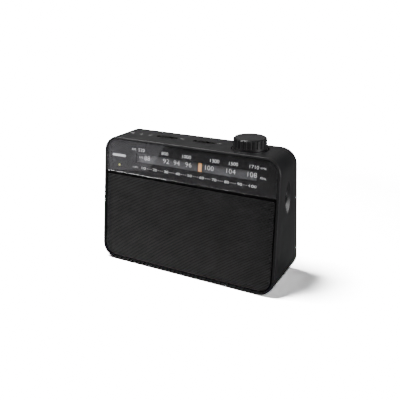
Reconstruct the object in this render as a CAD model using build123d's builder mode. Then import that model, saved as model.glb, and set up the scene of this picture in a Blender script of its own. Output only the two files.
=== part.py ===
from build123d import *
from math import asin, atan2, cos, degrees, pi, radians, sin, sqrt, tan
import os

# A portable FM/AM radio in moulded black plastic, standing on four rubber feet.
# Millimetres.  +X is the radio's right-hand side seen from the front, the dial
# faces -Y, +Z is up, and the origin is on the table under the middle of the base.

os.makedirs("parts", exist_ok=True)

# ---------------------------------------------------------------- cabinet sizes
base_width = 190.0
side_taper = 4.0            # the top is this much narrower than the base
cabinet_height = 127.0
base_depth = 67.0
front_lean = 5.2            # degrees the dial leans back
back_lean = 6.2             # degrees the rear cover leans forward
corner_radius = 15.0
wall = 2.2
rim_fillet = 0.9
foot_proud = 1.2
panel_gap = 0.4             # shadow gap between the cabinet and its front and rear panels
panel_inset = 0.5           # how far those panels lie behind the rim

# ---------------------------------------------------------------- front stack
lens_thickness = 2.0
grille_thickness = 2.0
baffle_thickness = 2.0
layer_gap = 0.2
scale_thickness = 0.8
backing_thickness = 0.8
pointer_space = 2.0         # room for the pointer between scale and backing
dial_tall = 35.5            # from the foot of the dial window to the cabinet's top
seam_gap = 0.3
groove_pitch = 1.5
groove_height = 1.05
groove_depth = 1.3
grille_border = 1.2         # plain edge round the louvres

# ---------------------------------------------------------------- dial
strip_left = -56.5
strip_right = 71.0
strip_rise = 12.7           # foot of the pale strip over the foot of the dial window
strip_tall = 8.5
pointer_rest_x = 13.5
pointer_low_x = -50.0       # carriage at the low end of the band
pointer_high_x = 68.0
pointer_width = 3.4

# ---------------------------------------------------------------- tuning drive
knob_x = 55.0
knob_y = -1.0
knob_radius = 15.5
knob_rise = 11.0            # top of the knob over the cabinet top
knob_clear = 0.5
knob_flutes = 24
flute_radius = 1.3
collar_proud = 1.1          # how far the collar stands out round the knob
recess_clear = 1.1
recess_depth = 1.4
shaft_radius = 2.0
running_clear = 0.05
gear_module = 0.5
pinion_teeth = 12
gang_teeth = 60
gear_backlash = 0.16
pinion_addendum = 0.95      # tooth height over the pitch circle, in modules
gang_addendum = 0.6
gear_width = 2.5
gear_clear = 0.32           # gang gear before the rear cover
gang_size = 16.0
gang_tall = 8.0
cord_radius = 0.4
cord_rise = 4.4             # dial cord over the chassis
cord_behind = 10.19         # dial cord behind the front rim plane
idler_radius = 5.0
idler_left_x = -70.0
idler_right_x = 84.0
flange = 1.2
rail_radius = 1.0
rail_rise = 5.5             # pointer rail over the dial cord

# ---------------------------------------------------------------- chassis
chassis_drop = 23.6         # chassis below the cabinet's top
chassis_thickness = 2.0
chassis_behind = 8.49       # its front edge behind the front rim plane
chassis_before = 10.77      # its rear edge before the rear rim plane

# ---------------------------------------------------------------- top switches
switch_y = 0.0
band_x = 7.5
power_x = -33.5
slot_length = 24.0
slot_width = 5.6
slot_depth = 1.5
slider_length = 10.0
slider_width = 4.6
slider_rise = 1.0
slider_travel = 5.0
slider_clear = 0.3

# ---------------------------------------------------------------- volume control
volume_y = -1.5
volume_drop = 40.2          # axle below the cabinet's top
volume_radius = 13.7
volume_width = 4.6
volume_hidden = 0.3         # how far the wheel stays inside the side wall
wheel_clear = 0.5
wheel_side_clear = 0.4
scoop_tall = 32.0
scoop_wide = 14.0
scoop_depth = 4.5
scoop_floor = 0.45          # size of the scoop's floor against its mouth
scoop_over = 1.0

# ---------------------------------------------------------------- loudspeaker
speaker_x = -42.0
speaker_z = 51.2
speaker_radius = 38.5
speaker_depth = 14.5
cone_radius = 30.0
coil_radius = 10.0
magnet_radius = 18.0
cone_travel = 1.0

# ---------------------------------------------------------------- batteries
cell_radius = 17.1
cell_length = 61.5
cell_y = 9.6
cell_play = 0.4             # room under the cells
cell_room = 0.5             # room before and over them
tray_wall = 1.6
tray_floor = 0.6
tray_half = 66.0
door_half = 66.0
door_top = 42.0
door_gap = 0.4
cover_thickness = 2.2

# ---------------------------------------------------------------- antenna
antenna_inset = 4.9         # axis before the rear rim plane
antenna_drop = 8.2          # axis below the cabinet's top
antenna_pivot_x = 36.0
channel_half = 4.6
channel_deep = 5.1          # channel floor before the antenna's axis
channel_right_x = 60.0
channel_wall = 1.4
notch_half = 5.2
notch_step = 0.8            # notch floor behind the channel floor
section_radii = (3.0, 2.5, 2.0, 1.5)
section_wall = 0.3
section_end_inset = 13.1    # end of the outer section inside the left wall
section_step = 1.6          # how far each section stands out of the one around it
section_inset = 1.5         # how much further in each one starts

# ---------------------------------------------------------------- fixings
screw_radius = 1.25
screw_head_radius = 2.4
screw_head = 1.5
foot_radius = 5.0
foot_recess = 0.8
foot_edge = 0.4
foot_inset_x = 23.0
foot_inset_y = 11.5
thread_clear = 0.02         # a self-tapping screw in its hole
screw_clear = 0.1           # a screw passing through a hole
seat_clear = 0.3            # a screw's head in its seat
over = 1.0                  # how far a cut runs past the face it opens

# ---------------------------------------------------------------- derived places
z_bottom = foot_proud
z_top = z_bottom + cabinet_height
dial_line_z = z_top - dial_tall
strip_low = dial_line_z + strip_rise
strip_high = strip_low + strip_tall
chassis_top = z_top - chassis_drop
chassis_low = chassis_top - chassis_thickness
cord_z = chassis_top + cord_rise
rail_z = cord_z + rail_rise
volume_z = z_top - volume_drop
antenna_z = z_top - antenna_drop
channel_low = antenna_z - channel_half
channel_high = antenna_z + channel_half
cell_z = z_bottom + wall + tray_floor + cell_play + cell_radius
foot_x = base_width / 2 - foot_inset_x
foot_y = base_depth / 2 - foot_inset_y
collar_radius = knob_radius + collar_proud
recess_radius = collar_radius + recess_clear
front_cos = cos(radians(front_lean))
back_cos = cos(radians(back_lean))
far = 2 * base_width


def front_y(z, depth=0.0):
    """Y of the plane that lies this deep behind the front rim, at height z."""
    return -base_depth / 2 + (z - z_bottom) * tan(radians(front_lean)) + depth / front_cos


def back_y(z, depth=0.0):
    """Y of the plane that lies this deep inside the rear rim, at height z."""
    return base_depth / 2 - (z - z_bottom) * tan(radians(back_lean)) - depth / back_cos


def side_x(z):
    """Half width of the cabinet at height z."""
    return base_width / 2 - side_taper / 2 * (z - z_bottom) / cabinet_height


cord_front_y = front_y(cord_z) + cord_behind
chassis_front_y = front_y(chassis_top) + chassis_behind
chassis_back_y = back_y(chassis_top) - chassis_before
antenna_y = back_y(antenna_z) - antenna_inset
channel_front_y = antenna_y - channel_deep
section_end_x = -side_x(antenna_z) + section_end_inset


def cabinet_outline(inset=0.0):
    """The cabinet's front outline, drawn smaller by the inset on every side."""
    half_low = base_width / 2
    half_high = half_low - side_taper / 2
    low = (half_low, z_bottom)
    high = (half_high, z_top)
    Polygon((-low[0], low[1]), low, high, (-high[0], high[1]), align=None)
    fillet(vertices(), corner_radius)
    if inset > 0:
        offset(amount=-inset)


def front_layer(near, deep, z_low, z_high):
    """Side view of a sheet that follows the front's lean."""
    Polygon(
        (front_y(z_low, near), z_low),
        (front_y(z_low, deep), z_low),
        (front_y(z_high, deep), z_high),
        (front_y(z_high, near), z_high),
        align=None,
    )


def back_layer(near, deep, z_low, z_high):
    """Side view of a sheet that follows the rear's lean."""
    Polygon(
        (back_y(z_low, near), z_low),
        (back_y(z_low, deep), z_low),
        (back_y(z_high, deep), z_high),
        (back_y(z_high, near), z_high),
        align=None,
    )


def front_plane(x, z, depth=0.0):
    """A plane facing out of the dial, this deep below the point of the rim plane at x, z."""
    lean = radians(front_lean)
    rim = Plane(origin=(x, front_y(z), z), x_dir=(1, 0, 0), z_dir=(0, -cos(lean), sin(lean)))
    return rim.offset(-depth)


def back_plane(x, z, depth=0.0):
    """A plane facing out of the rear cover, this deep below the rear rim plane at x, z."""
    lean = radians(back_lean)
    rim = Plane(origin=(x, back_y(z), z), x_dir=(-1, 0, 0), z_dir=(0, cos(lean), sin(lean)))
    return rim.offset(-depth)


def block(x1, x2, y1, y2, z1, z2, mode=Mode.ADD):
    """A box between two corners."""
    middle = ((x1 + x2) / 2, (y1 + y2) / 2, (z1 + z2) / 2)
    with Locations(middle):
        Box(x2 - x1, y2 - y1, z2 - z1, mode=mode)


def bar(radius, start, direction, length, mode=Mode.ADD):
    """A round bar from a start point along a direction."""
    with Locations(Plane(origin=start, z_dir=direction)):
        Cylinder(radius, length, align=(Align.CENTER, Align.CENTER, Align.MIN), mode=mode)


def rod_x(radius, x1, x2, y, z, mode=Mode.ADD):
    """A round bar along X."""
    bar(radius, (x1, y, z), (1, 0, 0), x2 - x1, mode)


def rod_y(radius, x, y1, y2, z, mode=Mode.ADD):
    """A round bar along Y."""
    bar(radius, (x, y1, z), (0, 1, 0), y2 - y1, mode)


def rod_z(radius, x, y, z1, z2, mode=Mode.ADD):
    """A round bar along Z."""
    bar(radius, (x, y, z1), (0, 0, 1), z2 - z1, mode)


# Depths of the layers behind the front rim.
lens_back = panel_inset + lens_thickness
scale_front = lens_back + layer_gap
scale_back = scale_front + scale_thickness
backing_front = scale_back + pointer_space
backing_back = backing_front + backing_thickness
grille_back = panel_inset + grille_thickness
baffle_front = grille_back + layer_gap
baffle_back = baffle_front + baffle_thickness
panel_edge = wall + panel_gap

# Rear screws and front screws stand in bosses on the side walls.
boss_radius = 3.6
boss_from_wall = 2.8
rear_boss_length = 6.0
front_boss_length = 6.0
rear_boss_z = (24.0, z_top - 24.2)
front_boss_z = (17.0, dial_line_z - 28.7)

# The chassis lies on a ledge at the left and on the thumbwheel's housing at the right.
ledge_width = 6.0
ledge_tall = 4.0
ledge_back_y = 9.0
chassis_screw_x = side_x(chassis_top) - wall - 2.6
chassis_screw_places = (
    (-chassis_screw_x, chassis_front_y + 5.6),
    (-chassis_screw_x, ledge_back_y - 3.0),
    (chassis_screw_x, ledge_back_y - 4.0),
)
chassis_screw_reach = 3.0


def boss_x(z):
    """Distance of the screw bosses from the middle plane."""
    return side_x(z) - wall - boss_from_wall


# The thumbwheel's axle, and the housing behind its scoop.
volume_x = side_x(volume_z) - volume_radius - volume_hidden
scoop_wall = 1.7            # left behind the floor of the scoop
scoop_boss_x = side_x(volume_z) - scoop_depth - scoop_wall
scoop_boss_half = 9.0
scoop_boss_low = volume_z - 15.2

# The cord drum is as large as the gear train asks, so that half a turn of the
# tuning gang carries the pointer along the whole scale.
gear_ratio = gang_teeth / pinion_teeth
pointer_travel = pointer_high_x - pointer_low_x
drum_radius = pointer_travel / (pi * gear_ratio)
gear_distance = gear_module * (pinion_teeth + gang_teeth) / 2
gear_drop = 1.6             # gear train under the chassis
gear_top = chassis_low - gear_drop
gear_low = gear_top - gear_width
gear_tip_radius = gear_module * (gang_teeth / 2 + gang_addendum)
gang_y = back_y(gear_top, panel_inset + cover_thickness) - gear_clear - gear_tip_radius
gang_bearing = 180 - degrees(asin((gang_y - knob_y) / gear_distance))
gang_x = knob_x + gear_distance * cos(radians(gang_bearing))
idler_y = cord_front_y + idler_radius
collar_rise = 0.3           # collar over the cabinet's top
collar_top = z_top + collar_rise
knob_low = collar_top + knob_clear
knob_top = z_top + knob_rise
door_lift = 0.5             # door's lower edge over the cabinet's floor
door_axis_z = z_bottom + wall + door_lift + cover_thickness / 2
door_axis_y = back_y(door_axis_z, panel_inset + cover_thickness / 2)

# ================================================================ cabinet
pad_margin = 2.3
pad_tall = 2.0
pad_front_y = front_y(z_top) + 5.44
pad_back_y = channel_front_y - channel_wall - 1.2
stem_slot_room = 5.0        # length of the switch slot beyond the slider's travel
stem_slot_width = 1.6
jack_y = 12.0
jack_z = 60.0
jack_barrel_radius = 3.0
jack_barrel = 6.0
hole_clear = 0.1
with BuildPart() as cabinet_bosses:
    for side in (-1, 1):
        for z in rear_boss_z:
            with BuildSketch(back_plane(side * boss_x(z), z, panel_inset + cover_thickness)):
                Circle(boss_radius)
            extrude(amount=-rear_boss_length)
        for z in front_boss_z:
            with BuildSketch(front_plane(side * boss_x(z), z, baffle_back)):
                Circle(boss_radius)
            extrude(amount=-front_boss_length)
    block(scoop_boss_x, far / 2, volume_y - scoop_boss_half, volume_y + scoop_boss_half,
          scoop_boss_low, chassis_low)
    block(-far / 2, -side_x(chassis_top) + ledge_width, chassis_front_y, ledge_back_y,
          chassis_low - ledge_tall, chassis_low)
    # pad that thickens the top under the knob's recess
    block(knob_x - recess_radius - pad_margin, knob_x + recess_radius + pad_margin,
          pad_front_y, pad_back_y, z_top - wall - pad_tall, z_top - wall / 2)
    with BuildSketch(Plane.XZ):
        cabinet_outline(wall / 2)
    extrude(amount=far, both=True, mode=Mode.INTERSECT)

with BuildPart() as thumb_scoop:
    for depth in (-scoop_over, scoop_depth):
        shrink = 1 - depth * (1 - scoop_floor) / scoop_depth
        with BuildSketch(Plane.YZ.offset(side_x(volume_z) - depth)):
            with BuildLine():
                ThreePointArc(
                    (volume_y, volume_z - scoop_tall / 2 * shrink),
                    (volume_y + scoop_wide / 2 * shrink, volume_z),
                    (volume_y, volume_z + scoop_tall / 2 * shrink),
                )
                ThreePointArc(
                    (volume_y, volume_z + scoop_tall / 2 * shrink),
                    (volume_y - scoop_wide / 2 * shrink, volume_z),
                    (volume_y, volume_z - scoop_tall / 2 * shrink),
                )
            make_face()
    loft(ruled=True)

with BuildPart() as cabinet:
    with BuildSketch(Plane.XZ):
        cabinet_outline()
    extrude(amount=far, both=True)
    with BuildSketch(Plane.XZ):
        cabinet_outline(wall)
    extrude(amount=far, both=True, mode=Mode.SUBTRACT)
    with BuildSketch(Plane.YZ):
        Polygon(
            (front_y(z_bottom), z_bottom),
            (back_y(z_bottom), z_bottom),
            (back_y(z_top), z_top),
            (front_y(z_top), z_top),
            align=None,
        )
    extrude(amount=far, both=True, mode=Mode.INTERSECT)
    fillet(cabinet.faces().sort_by(Axis.Y)[0].outer_wire().edges(), rim_fillet)
    fillet(cabinet.faces().sort_by(Axis.Y)[-1].outer_wire().edges(), rim_fillet)
    add(cabinet_bosses.part)
    # volume thumbwheel: pointed scoop in the side, then the slot for the wheel
    add(thumb_scoop.part, mode=Mode.SUBTRACT)
    wheel_slot = volume_width / 2 + wheel_side_clear
    rod_y(volume_radius + wheel_clear, volume_x, volume_y - wheel_slot, volume_y + wheel_slot,
          volume_z, mode=Mode.SUBTRACT)
    # tuning knob: round recess and the hole for its shaft
    rod_z(recess_radius, knob_x, knob_y, z_top - recess_depth, z_top + over, mode=Mode.SUBTRACT)
    rod_z(shaft_radius + hole_clear, knob_x, knob_y, z_top - wall - pad_tall - over, z_top,
          mode=Mode.SUBTRACT)
    # two switch recesses with a narrower slot for the slider's stem
    with BuildSketch(Plane.XY.offset(z_top - slot_depth)):
        with Locations((band_x, switch_y), (power_x, switch_y)):
            SlotOverall(slot_length, slot_width)
    extrude(amount=slot_depth + over, mode=Mode.SUBTRACT)
    with BuildSketch(Plane.XY.offset(z_top - wall - over)):
        with Locations((band_x, switch_y), (power_x, switch_y)):
            Rectangle(slider_travel + stem_slot_room, stem_slot_width)
    extrude(amount=wall + 2 * over, mode=Mode.SUBTRACT)
    # antenna way out of the left side, and the notch it stands up through
    block(-far, -side_x(z_top) + corner_radius, channel_front_y, far, channel_low, channel_high,
          mode=Mode.SUBTRACT)
    block(antenna_pivot_x - notch_half, antenna_pivot_x + notch_half,
          channel_front_y + notch_step, far, channel_high - over, far, mode=Mode.SUBTRACT)
    # headphone jack hole, screw holes and seats for the feet
    for x, y in chassis_screw_places:
        rod_z(screw_radius + thread_clear, x, y, chassis_low - chassis_screw_reach,
              chassis_low + over, mode=Mode.SUBTRACT)
    rod_x(jack_barrel_radius + hole_clear, -far, -side_x(jack_z) + jack_barrel, jack_y, jack_z,
          mode=Mode.SUBTRACT)
    for side in (-1, 1):
        for z in rear_boss_z:
            with BuildSketch(back_plane(side * boss_x(z), z, panel_inset + cover_thickness)):
                Circle(screw_radius + thread_clear)
            extrude(amount=-rear_boss_length, mode=Mode.SUBTRACT)
        for z in front_boss_z:
            with BuildSketch(front_plane(side * boss_x(z), z, baffle_back)):
                Circle(screw_radius + thread_clear)
            extrude(amount=-front_boss_length, mode=Mode.SUBTRACT)
    with BuildSketch(Plane.XY.offset(z_bottom)):
        with GridLocations(2 * foot_x, 2 * foot_y, 2, 2):
            Circle(foot_radius + hole_clear)
    extrude(amount=foot_recess, mode=Mode.SUBTRACT)
cabinet.part.label = "cabinet"
export_step(cabinet.part, "parts/cabinet.step")

# ================================================================ front panel
with BuildPart() as dial_lens:
    with BuildSketch(Plane.XZ):
        cabinet_outline(panel_edge)
    extrude(amount=far, both=True)
    with BuildSketch(Plane.YZ):
        front_layer(panel_inset, lens_back, dial_line_z + seam_gap / 2, z_top)
    extrude(amount=far, both=True, mode=Mode.INTERSECT)
dial_lens.part.label = "dial_lens"
export_step(dial_lens.part, "parts/dial_lens.step")

# The grille's fine louvres are level grooves with a sloping floor that faces up
# and a level roof.  Behind them, in front of the loudspeaker, a shallow pocket
# opens a slot at the roof of each, and upright ribs hold the slats there.
groove_first_z = z_bottom + panel_edge + grille_border
groove_room = dial_line_z - seam_gap / 2 - grille_border - groove_first_z
groove_count = int((groove_room + groove_pitch - groove_height) / groove_pitch)
with BuildPart() as grille_grooves:
    with BuildSketch(Plane.XZ):
        cabinet_outline(panel_edge + grille_border)
    extrude(amount=far, both=True)
    with BuildSketch(Plane.YZ):
        for row in range(groove_count):
            low = groove_first_z + row * groove_pitch
            high = low + groove_height
            Polygon(
                (front_y(low), low),
                (front_y(low, panel_inset), low),
                (front_y(high, panel_inset + groove_depth), high),
                (front_y(high), high),
                align=None,
            )
    extrude(amount=far, both=True, mode=Mode.INTERSECT)

slot_opening = 0.3          # how far the pocket cuts into the grooves
pocket_depth = grille_thickness - groove_depth + slot_opening
pocket_margin = 4.0         # pocket's radius over the cone's
rib_pitch = 12.0
rib_width = 1.4
rib_count = 5
with BuildPart() as front_grille:
    with BuildSketch(Plane.XZ):
        cabinet_outline(panel_edge)
    extrude(amount=far, both=True)
    with BuildSketch(Plane.YZ):
        front_layer(panel_inset, grille_back, 0, dial_line_z - seam_gap / 2)
    extrude(amount=far, both=True, mode=Mode.INTERSECT)
    add(grille_grooves.part, mode=Mode.SUBTRACT)
    with BuildSketch(front_plane(speaker_x, speaker_z, grille_back)):
        Circle(cone_radius + pocket_margin)
        with GridLocations(rib_pitch, 1, rib_count, 1):
            Rectangle(rib_width, 3 * cone_radius, mode=Mode.SUBTRACT)
    extrude(amount=pocket_depth, mode=Mode.SUBTRACT)
front_grille.part.label = "front_grille"
export_step(front_grille.part, "parts/front_grille.step")

# The baffle behind the grille carries the loudspeaker.
speaker_screw_circle = speaker_radius - 2.0
speaker_screw_head = 1.9
mouth_margin = 3.0          # the baffle's and the basket's mouth over the cone's radius
baffle_drop = 2.0           # baffle's top edge under the dial line
with BuildPart() as front_baffle:
    with BuildSketch(Plane.XZ):
        cabinet_outline(panel_edge)
    extrude(amount=far, both=True)
    with BuildSketch(Plane.YZ):
        front_layer(baffle_front, baffle_back, 0, dial_line_z - baffle_drop)
    extrude(amount=far, both=True, mode=Mode.INTERSECT)
    with BuildSketch(front_plane(speaker_x, speaker_z, baffle_front - over)):
        Circle(cone_radius + mouth_margin)
    extrude(amount=-baffle_thickness - 2 * over, mode=Mode.SUBTRACT)
    for side in (-1, 1):
        for z in front_boss_z:
            with BuildSketch(front_plane(side * boss_x(z), z, baffle_front)):
                Circle(screw_radius + thread_clear)
            extrude(amount=-baffle_thickness, mode=Mode.SUBTRACT)
    with BuildSketch(front_plane(speaker_x, speaker_z, baffle_front)):
        with PolarLocations(speaker_screw_circle, 4, 45):
            Circle(screw_radius + thread_clear)
    extrude(amount=-baffle_thickness, mode=Mode.SUBTRACT)
front_baffle.part.label = "front_baffle"
export_step(front_baffle.part, "parts/front_baffle.step")

# Dial scale: a black sheet behind the lens with one long window for the pointer.
dial_floor_z = dial_line_z + 1.5
scale_play = 0.3
led_x = -76.5
led_z = dial_line_z + 7.3
led_radius = 1.1
led_length = 3.0            # of the lamp behind the scale
with BuildPart() as dial_scale:
    with BuildSketch(Plane.XZ):
        cabinet_outline(panel_edge + scale_play)
    extrude(amount=far, both=True)
    with BuildSketch(Plane.YZ):
        front_layer(scale_front, scale_back, dial_floor_z, z_top)
    extrude(amount=far, both=True, mode=Mode.INTERSECT)
    block(strip_left, strip_right, -far, far, strip_low, strip_high, mode=Mode.SUBTRACT)
    with BuildSketch(front_plane(led_x, led_z, scale_front - over)):
        Circle(led_radius + running_clear)
    extrude(amount=-scale_thickness - 2 * over, mode=Mode.SUBTRACT)
dial_scale.part.label = "dial_scale"
export_step(dial_scale.part, "parts/dial_scale.step")

# Backing: the pale strip that shows through the window, behind the pointer.  A
# thicker foot below the strip keeps it off the scale.
backing_top = strip_high + 2.6
backing_margin = 3.0
backing_foot_top = strip_low - 2.5
with BuildPart() as scale_backing:
    with BuildSketch(Plane.YZ):
        front_layer(backing_front, backing_back, dial_floor_z, backing_top)
        front_layer(scale_back, backing_back, dial_floor_z, backing_foot_top)
    extrude(amount=far, both=True)
    block(strip_left - backing_margin, strip_right + backing_margin, -far, far, 0, far,
          mode=Mode.INTERSECT)
scale_backing.part.label = "scale_backing"
export_step(scale_backing.part, "parts/scale_backing.step")

nameplate_x = -76.8
nameplate_z = dial_line_z + 17.1
nameplate_length = 16.0
nameplate_height = 2.4
nameplate_thickness = 0.15
nameplate_corner = 0.6
with BuildPart() as nameplate:
    with BuildSketch(front_plane(nameplate_x, nameplate_z, scale_front)):
        RectangleRounded(nameplate_length, nameplate_height, nameplate_corner)
    extrude(amount=nameplate_thickness)
nameplate.part.label = "nameplate"
export_step(nameplate.part, "parts/nameplate.step")

with BuildPart() as power_led:
    with BuildSketch(front_plane(led_x, led_z, scale_back + led_length)):
        Circle(led_radius)
    extrude(amount=led_length + scale_thickness + layer_gap / 2)
    fillet(power_led.faces().sort_by(Axis.Y)[0].edges(), 0.3)
power_led.part.label = "power_led"
export_step(power_led.part, "parts/power_led.step")

# ================================================================ loudspeaker
# Every ring below is drawn as a half section and turned about the speaker's axis.
speaker_front = baffle_back
frame_sheet = 0.8
basket_depth = 8.0
basket_radius = cone_radius - 3.0
basket_hole_radius = coil_radius + 2.0
basket_lean = 1.5           # slanting wall of the basket, measured across the rim
window_length = 13.0
window_width = 5.0
window_count = 6
yoke_thickness = 1.5
plate_thickness = 1.5
gap_clear = 0.5
coil_wall = 0.3
speaker_axis_plane = front_plane(speaker_x, speaker_z, speaker_front)
speaker_section = Plane(
    origin=speaker_axis_plane.origin,
    x_dir=speaker_axis_plane.x_dir,
    z_dir=-speaker_axis_plane.y_dir,
)
speaker_axis = Axis(speaker_axis_plane.origin, speaker_axis_plane.z_dir)
# In the section, x runs outwards and y runs towards the listener.

with BuildPart() as speaker_frame:
    with BuildSketch(speaker_section):
        Polygon(
            (speaker_radius, 0),
            (cone_radius + mouth_margin, 0),
            (cone_radius + mouth_margin, -frame_sheet),
            (basket_radius, -basket_depth + frame_sheet),
            (basket_hole_radius, -basket_depth + frame_sheet),
            (basket_hole_radius, -basket_depth),
            (basket_radius + frame_sheet, -basket_depth),
            (cone_radius + mouth_margin + basket_lean, -frame_sheet),
            (speaker_radius, -frame_sheet),
            align=None,
        )
    revolve(axis=speaker_axis)
    with BuildSketch(front_plane(speaker_x, speaker_z, speaker_front + frame_sheet)):
        with PolarLocations((basket_radius + cone_radius) / 2 - basket_lean, window_count):
            SlotOverall(window_length, window_width, rotation=90)
    extrude(amount=-basket_depth, mode=Mode.SUBTRACT)
    with BuildSketch(front_plane(speaker_x, speaker_z, speaker_front)):
        with PolarLocations(speaker_screw_circle, 4, 45):
            Circle(screw_radius + screw_clear)
    extrude(amount=-frame_sheet, mode=Mode.SUBTRACT)
speaker_frame.part.label = "speaker_frame"
export_step(speaker_frame.part, "parts/speaker_frame.step")

magnet_front = -basket_depth
magnet_back = -(speaker_depth - yoke_thickness)
pole_drop = 0.3             # pole piece under the front plate
gap_outer = coil_radius + coil_wall + gap_clear
magnet_hole = gap_outer + 0.8
with BuildPart() as speaker_magnet:
    with BuildSketch(speaker_section):
        Polygon(
            (0, magnet_front - pole_drop),
            (coil_radius - gap_clear, magnet_front - pole_drop),
            (coil_radius - gap_clear, magnet_back),
            (magnet_hole, magnet_back),
            (magnet_hole, magnet_front - plate_thickness),
            (gap_outer, magnet_front - plate_thickness),
            (gap_outer, magnet_front),
            (magnet_radius, magnet_front),
            (magnet_radius, magnet_back - yoke_thickness),
            (0, magnet_back - yoke_thickness),
            align=None,
        )
    revolve(axis=speaker_axis)
    magnet_rims = speaker_magnet.edges().filter_by(GeomType.CIRCLE)
    fillet(magnet_rims.group_by(SortBy.RADIUS)[-1], 0.4)
speaker_magnet.part.label = "speaker_magnet"
export_step(speaker_magnet.part, "parts/speaker_magnet.step")

cone_sheet = 0.4
cone_rim_depth = 2.2
cone_neck_depth = 6.0
surround_gap = 0.3
with BuildPart() as speaker_surround:
    with BuildSketch(speaker_section):
        Polygon(
            (cone_radius + surround_gap, -1.6),
            (cone_radius + 1.2, -0.4),
            (cone_radius + 2.5, -0.4),
            (cone_radius + 2.5, -0.9),
            (cone_radius + 1.5, -0.9),
            (cone_radius + surround_gap + 0.4, -2.0),
            align=None,
        )
    revolve(axis=speaker_axis)
speaker_surround.part.label = "speaker_surround"
export_step(speaker_surround.part, "parts/speaker_surround.step")

with BuildPart() as speaker_cone:
    with BuildSketch(speaker_section):
        Polygon(
            (cone_radius, -cone_rim_depth + cone_sheet),
            (cone_radius, -cone_rim_depth),
            (coil_radius + coil_wall, -cone_neck_depth - cone_sheet),
            (coil_radius + coil_wall, -cone_neck_depth),
            align=None,
        )
    revolve(axis=speaker_axis)
speaker_cone.part.label = "speaker_cone"
export_step(speaker_cone.part, "parts/speaker_cone.step")

cap_rise = 2.6
cap_radius = coil_radius + coil_wall
cap_foot = -cone_neck_depth + 1
with BuildPart() as voice_coil:
    with BuildSketch(front_plane(speaker_x, speaker_z, speaker_front - cap_foot)):
        Circle(coil_radius + coil_wall)
        Circle(coil_radius, mode=Mode.SUBTRACT)
    extrude(amount=-(cap_foot - magnet_back - cone_travel - gap_clear))
voice_coil.part.label = "voice_coil"
export_step(voice_coil.part, "parts/voice_coil.step")

with BuildPart() as dust_cap:
    with BuildSketch(speaker_section):
        with BuildLine():
            ThreePointArc(
                (0, cap_foot + cap_rise),
                (cap_radius * 0.55, cap_foot + cap_rise * 0.72),
                (cap_radius, cap_foot),
            )
            Polyline((cap_radius, cap_foot), (0, cap_foot), (0, cap_foot + cap_rise))
        make_face()
    revolve(axis=speaker_axis)
dust_cap.part.label = "dust_cap"
export_step(dust_cap.part, "parts/dust_cap.step")

# ================================================================ rear cover
with BuildPart() as channel_end:
    with BuildSketch(Plane.XZ):
        cabinet_outline(panel_edge)
    extrude(amount=far, both=True)
    with BuildSketch(Plane.YZ):
        Polygon(
            (channel_front_y, channel_low),
            (back_y(channel_low, panel_inset), channel_low),
            (back_y(channel_high, panel_inset), channel_high),
            (channel_front_y, channel_high),
            align=None,
        )
    extrude(amount=far, both=True, mode=Mode.INTERSECT)
    block(channel_right_x, far, -far, far, 0, far, mode=Mode.INTERSECT)

ledge_low = channel_low - channel_wall
channel_back = channel_front_y - channel_wall
door_pin_radius = 0.8
door_pin_reach = 2.4
lug_width = 3.0
lug_front = 2.4             # the lug's faces round the hinge axis
lug_back = 0.6
lug_low = 1.6
lug_high = 3.0
dish_length = 26.0
dish_width = 7.0
dish_depth = 1.0
vent_z = 78.0
vent_pitch = 5.0
vent_count = 9
vent_length = 26.0
vent_width = 1.8
door_left = -door_half - door_gap
door_right = door_half + door_gap
with BuildPart() as rear_cover:
    with BuildSketch(Plane.XZ):
        cabinet_outline(panel_edge)
    extrude(amount=far, both=True)
    with BuildSketch(Plane.YZ):
        back_layer(panel_inset, panel_inset + cover_thickness, 0, channel_low)
        Polygon(
            (channel_back, ledge_low),
            (back_y(ledge_low, panel_inset), ledge_low),
            (back_y(channel_low, panel_inset), channel_low),
            (channel_front_y, channel_low),
            (channel_front_y, channel_high),
            (back_y(channel_high, panel_inset), channel_high),
            (back_y(z_top, panel_inset), z_top),
            (channel_back, z_top),
            align=None,
        )
    extrude(amount=far, both=True, mode=Mode.INTERSECT)
    # solid end of the channel to the right of the antenna's bearing
    add(channel_end.part)
    # notch that the raised antenna stands in
    block(antenna_pivot_x - notch_half, antenna_pivot_x + notch_half,
          channel_front_y + notch_step, far, channel_high - over, far, mode=Mode.SUBTRACT)
    # battery opening, down to the lower edge
    block(door_left, door_right, 0, far, 0, door_top + door_gap, mode=Mode.SUBTRACT)
    # a lug at each end takes the door's pins
    for side in (-1, 1):
        near = side * door_right
        end = near + side * lug_width
        block(min(near, end), max(near, end), door_axis_y - lug_front, door_axis_y + lug_back,
              door_axis_z - lug_low, door_axis_z + lug_high)
    rod_x(door_pin_radius + running_clear, -door_half - lug_width, door_half + lug_width,
          door_axis_y, door_axis_z, mode=Mode.SUBTRACT)
    # finger dish over the door and screw seats
    with BuildSketch(back_plane(0, door_top + door_gap + dish_width / 2 + over, panel_inset)):
        SlotOverall(dish_length, dish_width)
    extrude(amount=-dish_depth, mode=Mode.SUBTRACT)
    for side in (-1, 1):
        for z in rear_boss_z:
            with BuildSketch(back_plane(side * boss_x(z), z, panel_inset)):
                Circle(screw_radius + screw_clear)
            extrude(amount=-cover_thickness, mode=Mode.SUBTRACT)
            with BuildSketch(back_plane(side * boss_x(z), z, panel_inset)):
                Circle(screw_head_radius + seat_clear)
            extrude(amount=-screw_head, mode=Mode.SUBTRACT)
    # slots that let the loudspeaker breathe
    with BuildSketch(back_plane(speaker_x, vent_z, panel_inset)):
        with GridLocations(vent_pitch, 1, vent_count, 1):
            SlotOverall(vent_length, vent_width, rotation=90)
    extrude(amount=-cover_thickness - over, mode=Mode.SUBTRACT)
rear_cover.part.label = "rear_cover"
export_step(rear_cover.part, "parts/rear_cover.step")

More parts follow.
